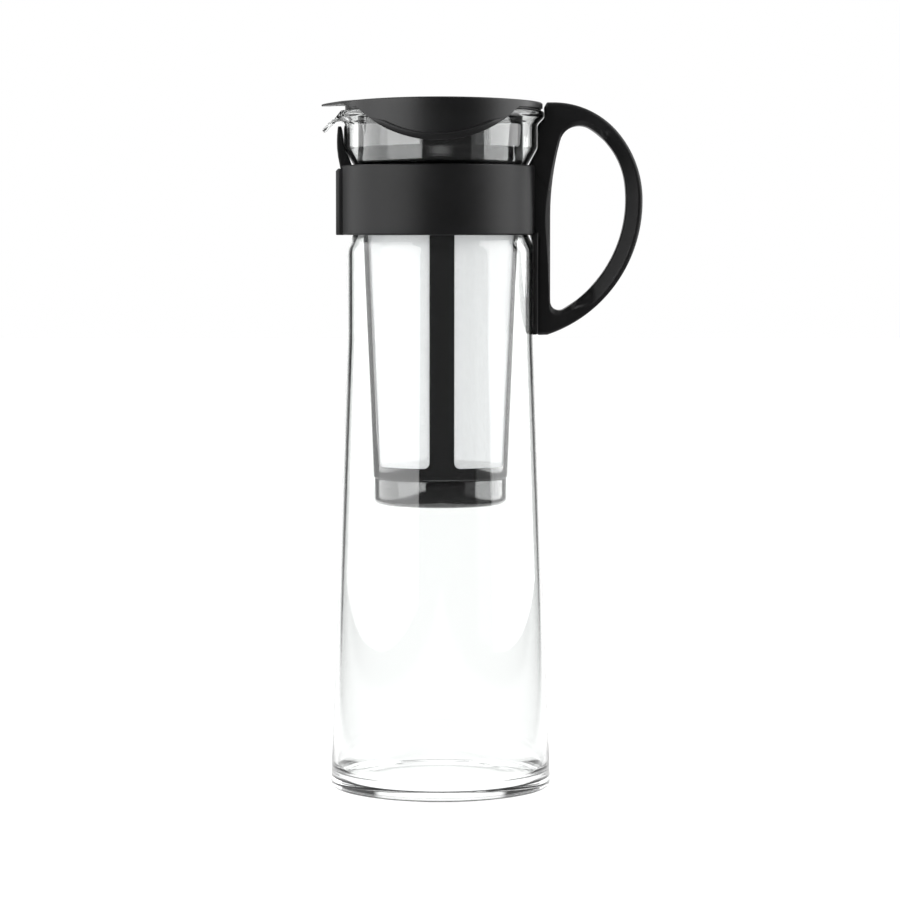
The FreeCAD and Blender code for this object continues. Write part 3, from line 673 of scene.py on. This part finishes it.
def make_handle():
    """The D-shaped handle as one tube of squarish section round its finger opening."""
    rim = tangent_arcs(HANDLE_START, 0.0, HANDLE_ARCS)
    for point in rim:
        point.x = HANDLE_START[0] + (point.x - HANDLE_START[0]) * HANDLE_SQUEEZE
    corners = [(rim[-1].x, rim[-1].y, 0)] + list(HANDLE_BACK) + [(*HANDLE_START, 0)]
    back = fillet(corners, closed=False)
    outer = spaced(rim + back[1:], HANDLE_POINT_SPACING)[:-1]
    opening = tangent_arcs(OPENING_START, math.pi / 2, OPENING_ARCS)
    rows = []
    for point in outer:
        ray = point - OPENING_MIDDLE
        length = ray.length
        ray.normalize()
        front = handle_section(length - ray_reach(opening, ray), math.atan2(ray.y, ray.x))
        loop = [(a, -y) for a, y in front] + [(a, y) for a, y in reversed(front)]
        rows.append([((point - ray * a).x, y, (point - ray * a).y) for a, y in loop])
    return skin("handle_grip", rows)


def make_saddle():
    """Wings of the spine that lie along the glass below the band."""
    path = [(SADDLE_INNER, SADDLE_OUTER - SADDLE_EDGE, SADDLE_FOOT),
            (SADDLE_INNER, SADDLE_OUTER, SADDLE_FOOT + SADDLE_FOOT_RISE),
            (SADDLE_INNER, SADDLE_OUTER, SADDLE_BEND),
            (SADDLE_INNER - SADDLE_SINK, SADDLE_OUTER, SADDLE_HEAD)]
    path = dense_path(path, SADDLE_ROW_SPACING)
    saddle = sector_bar("saddle", path, SADDLE_HALF_WIDTH, SADDLE_EDGE, SADDLE_CORNER)
    for vertex in saddle.data.vertices:
        vertex.co.x *= -1
    saddle.data.flip_normals()
    return saddle


def make_band():
    """The whole black moulding of band, tongue, rails, spine and handle."""
    path = dense_path(TONGUE_PATH, TONGUE_ROW_SPACING)
    tongue = sector_bar("tongue", path, TONGUE_HALF_WIDTH, TONGUE_EDGE, TONGUE_CORNER)
    pieces = [make_band_ring(), tongue, make_rail(1), make_rail(-1), make_saddle(), make_handle()]
    return join("band_moulding", pieces)


def make_clip():
    """The clip that slides over the rails, with a sloped shoulder and a dovetail channel."""
    channel_root = RAIL_ROOT_HALF_WIDTH + CLIP_CLEARANCE
    channel_top = RAIL_TOP_HALF_WIDTH + 1.5 * CLIP_CLEARANCE
    channel_reach = RAIL_REACH + CLIP_CLEARANCE
    head = BAND_FOOT + CLIP_HEIGHT
    levels = (
        (BAND_FOOT, CLIP_EDGE),
        (BAND_FOOT + CLIP_EDGE, 0.0),
        (head - CLIP_SHOULDER, 0.0),
        (head - CLIP_SHOULDER_RUN, CLIP_SHOULDER - CLIP_EDGE),
        (head, CLIP_SHOULDER),
    )
    rows = []
    for z, slope in levels:
        outline = fillet([
            (-CLIP_INNER, -CLIP_HALF_WIDTH, CLIP_EDGE),
            (slope - CLIP_REACH, -CLIP_HALF_WIDTH, CLIP_CORNER),
            (slope - CLIP_REACH, CLIP_HALF_WIDTH, CLIP_CORNER),
            (-CLIP_INNER, CLIP_HALF_WIDTH, CLIP_EDGE),
            (-CLIP_INNER, channel_root, CLIP_CHANNEL_CORNER),
            (-channel_reach, channel_top, CLIP_CHANNEL_CORNER),
            (-channel_reach, -channel_top, CLIP_CHANNEL_CORNER),
            (-CLIP_INNER, -channel_root, CLIP_CHANNEL_CORNER),
        ])
        rows.append([(x, y, z) for x, y in outline])
    return skin("clip_moulding", rows, wrap_rows=False, caps=True)


def lid_reach(angle):
    """The radius of the lid's plan outline, a circle flattened at both ends."""
    reach = [LID_RADIUS]
    for side in (-1, 1):
        middle = side * (LID_SIDE_REACH - LID_SIDE_CURVE)
        along = middle * math.cos(angle)
        across = LID_SIDE_CURVE ** 2 - (middle * math.sin(angle)) ** 2
        reach.append(along + math.sqrt(across))
    total = sum(math.exp((LID_SIDE_REACH - r) / LID_PLAN_SOFTNESS) for r in reach)
    return LID_SIDE_REACH - LID_PLAN_SOFTNESS * math.log(total)


def beak_half_width(out):
    """Half width of the beak's plan at a distance from the lid's middle."""
    if out < BEAK_SHOULDER:
        share = (BEAK_SHOULDER - out) / (BEAK_SHOULDER - BEAK_ROOT)
        return BEAK_SHOULDER_HALF_WIDTH + (BEAK_ROOT_HALF_WIDTH - BEAK_SHOULDER_HALF_WIDTH) * share
    share = min((out - BEAK_SHOULDER) / (BEAK_TIP - BEAK_SHOULDER), 1.0)
    return BEAK_SHOULDER_HALF_WIDTH * math.sqrt(1 - share ** 1.8)


def beak_reach(off):
    """Radius of the beak's plan outline at an angle off its middle line, found by halving."""
    low, high = 20.0, BEAK_TIP
    for _ in range(BEAK_HALVINGS):
        middle = (low + high) / 2
        if beak_half_width(middle * math.cos(off)) > middle * math.sin(off):
            low = middle
        else:
            high = middle
    return low


def lid_outline(angle):
    """Radius of the lid's plan outline with its beak."""
    plate = lid_reach(angle)
    off = abs(angle - math.pi)
    if off > BEAK_CLEAR_ANGLES[1]:
        return plate
    beyond = (beak_reach(off) - plate) / BEAK_SOFTNESS
    return plate + BEAK_SOFTNESS * math.log(1 + math.exp(beyond))


def share_within(off, angles):
    """Falls smoothly from 1 inside the first angle to 0 outside the second."""
    return smooth((angles[1] - off) / (angles[1] - angles[0]))


def lid_top(radius, angle):
    """Height of the lid's top, a low dome that runs out along the beak."""
    tilt = LID_END_DROP * math.cos(angle) ** 2 - LID_SIDE_RISE * math.sin(angle) ** 2
    plate = LID_APEX - (LID_DOME_RISE + tilt) * (radius / LID_SIDE_REACH) ** 2
    past = radius - BEAK_ROOT
    if past <= 0:
        return plate
    slope = 2 * LID_DOME_RISE * BEAK_ROOT / LID_SIDE_REACH ** 2
    root = LID_APEX - LID_DOME_RISE * (BEAK_ROOT / LID_SIDE_REACH) ** 2
    along = root - slope * past - BEAK_DROOP * past ** 2
    weight = share_within(abs(angle - math.pi), BEAK_CLEAR_ANGLES) * smooth(past / BEAK_RUN_IN)
    return plate + (along - plate) * weight


def flap_edge(x):
    """Height of the flaps' lower edge, which curves like a smile."""
    side = abs(x - FLAP_CENTRE)
    if side >= FLAP_CURVE:
        return LID_UNDERSIDE
    return min(FLAP_FOOT + FLAP_CURVE - math.sqrt(FLAP_CURVE ** 2 - side ** 2), LID_UNDERSIDE)


def lid_top_side(reach, angle, low):
    """The lid's top from its middle to its rounded edge."""
    edge = min(LID_EDGE, (lid_top(reach, angle) - low) * LID_EDGE_SHARE)
    column = [(reach * share, lid_top(reach * share, angle)) for share in LID_TOP_SHARES]
    for step in range(EDGE_STEPS + 1):
        turn = math.pi / 2 * step / EDGE_STEPS
        r = reach - edge + edge * math.sin(turn)
        column.append((r, lid_top(reach - edge, angle) - edge * (1 - math.cos(turn))))
    return column


def lid_outside(reach, x, high, low):
    """The outside of the lid or flap, with the crescent lip along the flap's lower edge."""
    ease = smooth((FLAP_LIP_HALF_WIDTH - abs(x - FLAP_CENTRE)) / FLAP_LIP_FADE)
    rise = min(FLAP_LIP_HEIGHT * ease, (high - low) / 2)
    column = [(reach, high + (low + rise - high) * share) for share in (0.25, 0.5, 0.75, 1.0)]
    column += [(reach + FLAP_LIP_REACH * ease * out, low + rise * up) for out, up in FLAP_LIP_SECTION]
    return column


def lid_under_side(reach, low, underside, seat):
    """The inside of the flap, the seat on the rim, the plug ring and the recess within it."""
    wall = min(FLAP_INNER, reach - LID_LEAST_WALL)
    bore = PLUG_RADIUS - PLUG_WALL
    return [
        (wall + (reach - wall) * 0.6, low), (wall, min(low + 0.3, underside)), (wall, underside),
        (SEAT_RADIUS, underside), (SEAT_RADIUS, seat + 0.02), (SEAT_RADIUS - 0.2, seat),
        (PLUG_RADIUS, seat), (PLUG_RADIUS, PLUG_FOOT + 0.5),
        (PLUG_RADIUS - 0.15, PLUG_FOOT + 0.15), (PLUG_RADIUS - 0.5, PLUG_FOOT),
        (bore + 0.4, PLUG_FOOT), (bore, PLUG_FOOT + 0.4), (bore, RECESS_HEAD - 1),
        (bore - 1, RECESS_HEAD), (RECESS_MIDDLE_RADIUS, RECESS_HEAD), (0, RECESS_HEAD),
    ]


def lid_column(angle):
    """One (radius, height) section of the lid, from the middle of its top to that of its recess."""
    reach = lid_outline(angle)
    off = abs(angle - math.pi)
    x = reach * math.cos(angle)
    lifted = share_within(off, BEAK_CLEAR_ANGLES)
    seatless = share_within(off, SEAT_CLEAR_ANGLES)
    thinning = max(0.0, -x - BEAK_EDGE_START) / (BEAK_TIP - BEAK_EDGE_START)
    edge_z = BEAK_UNDERSIDE - thinning * (BEAK_UNDERSIDE + BEAK_TIP_THICKNESS - BEAK_TIP_HEIGHT)
    low = flap_edge(x) + (edge_z - flap_edge(x)) * lifted
    underside = LID_UNDERSIDE + (BEAK_UNDERSIDE - LID_UNDERSIDE) * lifted
    seat = SEAT_HEIGHT + (underside - 0.05 - SEAT_HEIGHT) * seatless
    column = lid_top_side(reach, angle, low)
    column += lid_outside(reach, x, column[-1][1], low)
    return column + lid_under_side(reach, low, underside, seat)


def make_lid():
    """The lid in one skin: domed plate, beak, flaps, seat and plug."""
    rows = []
    for step in range(LID_COLUMNS):
        angle = 2 * math.pi * step / LID_COLUMNS
        rows.append([(r * math.cos(angle), r * math.sin(angle), z) for r, z in lid_column(angle)])
    return skin("lid_moulding", rows, wrap_points=False)


def cage_radius(z):
    """Outer radius of the strainer's cage at a height."""
    share = (z - CAGE_FOOT[1]) / (CAGE_HEAD[1] - CAGE_FOOT[1])
    return CAGE_FOOT[0] + (CAGE_HEAD[0] - CAGE_FOOT[0]) * share


def window_outline(side):
    """The outline of one window seen from the front."""
    low = cage_radius(WINDOW_FOOT) - SIDE_RIB_DEPTH
    high = cage_radius(WINDOW_HEAD) - SIDE_RIB_DEPTH
    corners = [
        (RIB_HALF_WIDTH, WINDOW_FOOT, WINDOW_INNER_CORNER),
        (low, WINDOW_FOOT, WINDOW_OUTER_CORNER),
        (high, WINDOW_HEAD, WINDOW_OUTER_CORNER),
        (RIB_HALF_WIDTH, WINDOW_HEAD, WINDOW_INNER_CORNER),
    ]
    return [(side * a, b) for a, b in fillet(corners)]


def turn_strainer(piece):
    """Turns a piece of the strainer as it stands in the neck."""
    c, s = math.cos(STRAINER_TURN), math.sin(STRAINER_TURN)
    for vertex in piece.data.vertices:
        x, y, z = vertex.co
        vertex.co = (c * x - s * y, s * x + c * y, z)
    return piece


def make_strainer():
    """Collar, throat and four-ribbed cage."""
    profile = fillet(list(STRAINER_OUTSIDE) + list(STRAINER_INSIDE))
    frame_shell = turned("strainer_moulding", profile)
    cutters = []
    for side in (-1, 1):
        for low, high in ((-WINDOW_CUT_REACH, 0), (0, WINDOW_CUT_REACH)):
            cutters.append(prism("window_cut", window_outline(side), "Y", low, high))
    return turn_strainer(cut(frame_shell, cutters))


def make_mesh_panel(number, side, face):
    """The fine mesh in one window, as one curved sheet with its weave laid out in millimetres."""
    rows = []
    low, high = WINDOW_FOOT - MESH_OVERLAP, WINDOW_HEAD + MESH_OVERLAP
    for i in range(MESH_ROWS + 1):
        z = low + (high - low) * i / MESH_ROWS
        radius = cage_radius(z) - MESH_RECESS
        near = math.asin((RIB_HALF_WIDTH - MESH_OVERLAP) / radius)
        far = math.asin((cage_radius(z) - SIDE_RIB_DEPTH + MESH_SIDE_OVERLAP) / radius)
        angles = [near + (far - near) * j / MESH_COLUMNS for j in range(MESH_COLUMNS + 1)]
        rows.append([(side * radius * math.sin(a), face * radius * math.cos(a), z) for a in angles])
    panel = skin(f"mesh_sheet_{number}", rows, wrap_rows=False, wrap_points=False)
    layer = panel.data.uv_layers.new(name="weave")
    for loop in panel.data.loops:
        x, y, z = panel.data.vertices[loop.vertex_index].co / MM
        layer.data[loop.index].uv = (math.atan2(x, abs(y)) * MESH_WEAVE_RADIUS, z)
    return turn_strainer(panel)


def make_cap():
    """The cup at the strainer's foot."""
    profile = fillet(list(CAP_OUTLINE), closed=False)
    return turn_strainer(turned("cap_moulding", profile, wrap_points=False))


def new_material(name):
    """A node material, with its nodes, its links and its Principled shader."""
    material = bpy.data.materials.new(name)
    material.use_nodes = True
    tree = material.node_tree
    return material, tree.nodes, tree.links, tree.nodes["Principled BSDF"]


def add_noise(nodes, links, scale, detail):
    """A noise pattern laid out in the object's own space."""
    place = nodes.new("ShaderNodeTexCoord")
    noise = nodes.new("ShaderNodeTexNoise")
    noise.inputs["Scale"].default_value = scale
    noise.inputs["Detail"].default_value = detail
    links.new(place.outputs["Object"], noise.inputs["Vector"])
    return noise.outputs["Fac"]


def add_bump(nodes, links, shader, height, strength, distance):
    """Raises and lowers a shader's surface by a height pattern."""
    bump = nodes.new("ShaderNodeBump")
    bump.inputs["Strength"].default_value = strength
    bump.inputs["Distance"].default_value = distance
    links.new(height, bump.inputs["Height"])
    links.new(bump.outputs["Normal"], shader.inputs["Normal"])


def ranged(nodes, links, value, source, target, interpolation="SMOOTHSTEP"):
    """Maps a value from one range of numbers to another."""
    node = nodes.new("ShaderNodeMapRange")
    node.interpolation_type = interpolation
    for name, number in zip(("From Min", "From Max", "To Min", "To Max"), (*source, *target)):
        node.inputs[name].default_value = number
    links.new(value, node.inputs["Value"])
    return node.outputs["Result"]


def feed(links, socket, value):
    """Sets a socket to a plain number, or links another socket to it."""
    if isinstance(value, float):
        socket.default_value = value
    else:
        links.new(value, socket)


def combine(nodes, links, operation, first, second):
    """A maths node fed by sockets or plain numbers."""
    node = nodes.new("ShaderNodeMath")
    node.operation = operation
    feed(links, node.inputs[0], first)
    feed(links, node.inputs[1], second)
    return node.outputs["Value"]


def blended(nodes, links, factor, first, second):
    """A level between two others, each a socket or a plain number."""
    node = nodes.new("ShaderNodeMix")
    node.data_type = "FLOAT"
    links.new(factor, node.inputs["Factor"])
    feed(links, node.inputs["A"], first)
    feed(links, node.inputs["B"], second)
    return node.outputs["Result"]


def plastic(name, colour, rough, rough_swing, grain, shine, coat=0.0):
    """Black moulded plastic: a fine spark-eroded grain and faint flow marks."""
    material, nodes, links, shader = new_material(name)
    shader.inputs["IOR"].default_value = 1.5
    shader.inputs["Specular IOR Level"].default_value = shine
    shader.inputs["Coat Weight"].default_value = coat
    shader.inputs["Coat Roughness"].default_value = 0.06

    flow = add_noise(nodes, links, 55.0, 4.0)
    tone = nodes.new("ShaderNodeValToRGB")
    dark, light = tone.color_ramp.elements
    dark.position = 0.35
    dark.color = (*[c * 0.82 for c in colour], 1)
    light.position = 0.7
    light.color = (*[c * 1.25 for c in colour], 1)
    links.new(flow, tone.inputs["Fac"])
    links.new(tone.outputs["Color"], shader.inputs["Base Color"])

    roughs = (rough - rough_swing, rough + rough_swing)
    links.new(ranged(nodes, links, flow, (0, 1), roughs, "LINEAR"), shader.inputs["Roughness"])
    add_bump(nodes, links, shader, add_noise(nodes, links, 2600.0, 2.0), grain, 0.0001)
    return material


def glass(name):
    """Clear blown glass with the faintest waves."""
    material, nodes, links, shader = new_material(name)
    shader.inputs["Base Color"].default_value = (0.985, 0.995, 0.99, 1)
    shader.inputs["Transmission Weight"].default_value = 1.0
    shader.inputs["Roughness"].default_value = 0.0
    shader.inputs["IOR"].default_value = 1.47
    add_bump(nodes, links, shader, add_noise(nodes, links, 22.0, 1.0), 0.05, 0.0004)
    return material


def woven_mesh(name):
    """Fine white polyester mesh: crossed threads with clear holes between them, and a painted glow for
    light shining through it.
    """
    material, nodes, links, shader = new_material(name)
    shader.inputs["Roughness"].default_value = 0.55
    shader.inputs["Base Color"].default_value = (0.93, 0.935, 0.94, 1)
    # Painted light: the emission is a painted glow that stands in for the light shining through the
    # thin mesh.
    shader.inputs["Emission Color"].default_value = (0.97, 0.98, 1, 1)
    shader.inputs["Emission Strength"].default_value = 0.2
    place = nodes.new("ShaderNodeUVMap")
    place.uv_map = "weave"
    heights = []
    for direction in ("X", "Y"):
        threads = nodes.new("ShaderNodeTexWave")
        threads.wave_type = "BANDS"
        threads.bands_direction = direction
        threads.inputs["Scale"].default_value = 1.2
        threads.inputs["Distortion"].default_value = 0.0
        links.new(place.outputs["UV"], threads.inputs["Vector"])
        heights.append(threads.outputs["Fac"])
    crossing = combine(nodes, links, "MAXIMUM", *heights)
    cover = ranged(nodes, links, crossing, (0.3, 0.7), (0.25, 0.92), "LINEAR")
    links.new(cover, shader.inputs["Alpha"])
    add_bump(nodes, links, shader, crossing, 0.4, 0.00008)
    return material


def whiten_front(nodes, links, rays, place, edge, level):
    """Turns a level to white in front of the object, for rays that went straight through glass."""
    in_front = ranged(nodes, links, place, edge, (0, 1))
    unreflected = combine(nodes, links, "LESS_THAN", rays.outputs["Glossy Depth"], 0.5)
    through = combine(nodes, links, "MULTIPLY", unreflected, rays.outputs["Is Transmission Ray"])
    share = combine(nodes, links, "MULTIPLY", through, in_front)
    return blended(nodes, links, share, level, 1.0)


def studio_world():
    """White for the camera, white sheets of limited width behind and before the object, a dim room."""
    world = bpy.data.worlds.new("studio")
    bpy.context.scene.world = world
    world.use_nodes = True
    nodes, links = world.node_tree.nodes, world.node_tree.links
    rays = nodes.new("ShaderNodeLightPath")
    place = nodes.new("ShaderNodeTexCoord")
    flat = nodes.new("ShaderNodeVectorMath")
    flat.operation = "MULTIPLY"
    flat.inputs[1].default_value = (1, 1, 0)
    links.new(place.outputs["Generated"], flat.inputs[0])
    unit = nodes.new("ShaderNodeVectorMath")
    unit.operation = "NORMALIZE"
    links.new(flat.outputs["Vector"], unit.inputs[0])
    split = nodes.new("ShaderNodeSeparateXYZ")
    links.new(unit.outputs["Vector"], split.inputs["Vector"])

    depth = split.outputs["Y"]
    behind = ranged(nodes, links, depth, SHEET_EDGE, (ROOM_LEVEL, SHEET_LEVEL))
    level = whiten_front(nodes, links, rays, depth, FRONT_EDGE, behind)
    glossy, through = rays.outputs["Is Glossy Ray"], rays.outputs["Is Transmission Ray"]
    seen = combine(nodes, links, "MAXIMUM", glossy, through)
    by_ray = blended(nodes, links, seen, AMBIENT, level)
    by_camera = blended(nodes, links, rays.outputs["Is Camera Ray"], by_ray, 1.0)
    background = nodes["Background"]
    background.inputs["Color"].default_value = (1, 1, 1, 1)
    links.new(by_camera, background.inputs["Strength"])


def floor_sheet(nodes, links, rays, place):
    """The floor's level for all but camera rays: white behind and before the object, dim aside."""
    split = nodes.new("ShaderNodeSeparateXYZ")
    links.new(place, split.inputs["Vector"])
    depth = split.outputs["Y"]
    aside = combine(nodes, links, "ABSOLUTE", split.outputs["X"], 0.0)
    spread = combine(nodes, links, "MULTIPLY", depth, SHEET_SPREAD)
    beyond = combine(nodes, links, "SUBTRACT", aside, spread)
    sheet = ranged(nodes, links, beyond, SHEET_HALF_WIDTH, (SHEET_LEVEL, FLOOR_ASIDE))
    narrowing = combine(nodes, links, "MULTIPLY", aside, FLOOR_FRONT_SPREAD)
    ahead = combine(nodes, links, "ADD", narrowing, depth)
    return whiten_front(nodes, links, rays, ahead, FLOOR_FRONT_EDGE, sheet)


def floor_material():
    """Pale for the camera and whiter further out, and the white sheet for all other rays."""
    material, nodes, links, shader = new_material("pale_floor")
    shader.inputs["Base Color"].default_value = (0.8, 0.8, 0.8, 1)
    shader.inputs["Roughness"].default_value = 0.6
    shader.inputs["Specular IOR Level"].default_value = 0.1
    shader.inputs["Emission Color"].default_value = (1, 1, 1, 1)
    rays = nodes.new("ShaderNodeLightPath")
    place = nodes.new("ShaderNodeTexCoord").outputs["Object"]
    distance = nodes.new("ShaderNodeVectorMath")
    distance.operation = "LENGTH"
    links.new(place, distance.inputs[0])
    lift = ranged(nodes, links, distance.outputs["Value"], FLOOR_WHITENS, (FLOOR_LIFT, 1.0))
    links.new(lift, shader.inputs["Emission Strength"])

    plain = nodes.new("ShaderNodeEmission")
    links.new(floor_sheet(nodes, links, rays, place), plain.inputs["Strength"])
    choose = nodes.new("ShaderNodeMixShader")
    links.new(rays.outputs["Is Camera Ray"], choose.inputs["Fac"])
    links.new(plain.outputs["Emission"], choose.inputs[1])
    links.new(shader.outputs["BSDF"], choose.inputs[2])
    links.new(choose.outputs["Shader"], nodes["Material Output"].inputs["Surface"])
    return material


def make_floor():
    """A wide pale floor that keeps a soft shadow near the object."""
    mesh = bpy.data.meshes.new("floor")
    reach = FLOOR_REACH
    corners = [(-reach, -reach, 0), (reach, -reach, 0), (reach, reach, 0), (-reach, reach, 0)]
    mesh.from_pydata(corners, [], [(0, 1, 2, 3)])
    mesh.materials.append(floor_material())
    floor = bpy.data.objects.new("floor", mesh)
    bpy.context.collection.objects.link(floor)


def area_light(name, size, radiance):
    """A soft rectangular light that shines evenly at a radiance."""
    light = bpy.data.lights.new(name, "AREA")
    light.shape = "RECTANGLE"
    light.size, light.size_y = size
    light.energy = radiance * math.pi * light.size * light.size_y
    lamp = bpy.data.objects.new(name, light)
    bpy.context.collection.objects.link(lamp)
    return lamp


def make_lights():
    """Soft panels on both sides, with a dark gap in front, and a dim light overhead."""
    for name, side, near, far, radiance in SIDE_PANELS:
        panel = area_light(name, (PANEL_HEIGHT, far - near), radiance)
        panel.location = (side * PANEL_DISTANCE, (near + far) / 2, PANEL_HEIGHT / 2)
        panel.rotation_euler = (0, side * math.pi / 2, 0)
    overhead = area_light("overhead", OVERHEAD_SIZE, OVERHEAD_LEVEL)
    overhead.location = OVERHEAD_PLACE


def make_camera():
    """A long lens level with the band, tipped down to the middle of the jug."""
    data = bpy.data.cameras.new("camera")
    data.sensor_width = SENSOR_WIDTH
    data.lens = SENSOR_WIDTH * CAMERA_DISTANCE / PHOTO_WIDTH
    data.clip_end = 50.0
    camera = bpy.data.objects.new("camera", data)
    place = Vector((CAMERA_SIDE, -CAMERA_DISTANCE, CAMERA_HEIGHT)) * MM
    aim = Vector((CAMERA_SIDE, 0.0, PHOTO_MIDDLE_HEIGHT)) * MM
    camera.location = place
    camera.rotation_euler = (aim - place).to_track_quat("-Z", "Y").to_euler()
    bpy.context.collection.objects.link(camera)
    bpy.context.scene.camera = camera


def dress(piece, material, body, slot, *nodes):
    """Gives a piece its material, its body and the nodes that it stands for."""
    piece.data.materials.clear()
    piece.data.materials.append(material)
    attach(piece, body)
    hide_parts(*nodes)


satin = plastic("satin_black", (0.0095, 0.0095, 0.01), rough=0.42, rough_swing=0.04, grain=0.35,
                shine=0.27)
lid_black = plastic("lid_black", (0.0085, 0.0085, 0.009), rough=0.38, rough_swing=0.04, grain=0.3,
                    shine=0.42)
gloss = plastic("gloss_black", (0.006, 0.006, 0.0063), rough=0.06, rough_swing=0.015, grain=0.02,
                shine=1.0, coat=0.7)
clear = glass("clear_glass")
white_mesh = woven_mesh("white_mesh")

dress(make_jug(), clear, "jug", "clear_glass", "glass_jug")
dress(make_band(), satin, "jug", "band_plastic", "handle_band")
dress(make_clip(), satin, "clip", "clip_plastic", "band_clip")
dress(make_lid(), lid_black, "lid", "lid_plastic", "lid")
dress(make_strainer(), gloss, "strainer", "strainer_plastic", "strainer_frame")
dress(make_cap(), gloss, "cap", "cap_plastic", "strainer_cap")
number = 1
for face in (-1, 1):
    for side in (-1, 1):
        sheet = make_mesh_panel(number, side, face)
        dress(sheet, white_mesh, "strainer", "mesh", f"mesh_panel_{number}")
        number += 1

make_floor()
studio_world()
make_lights()
make_camera()
bpy.context.scene.view_settings.view_transform = "Standard"
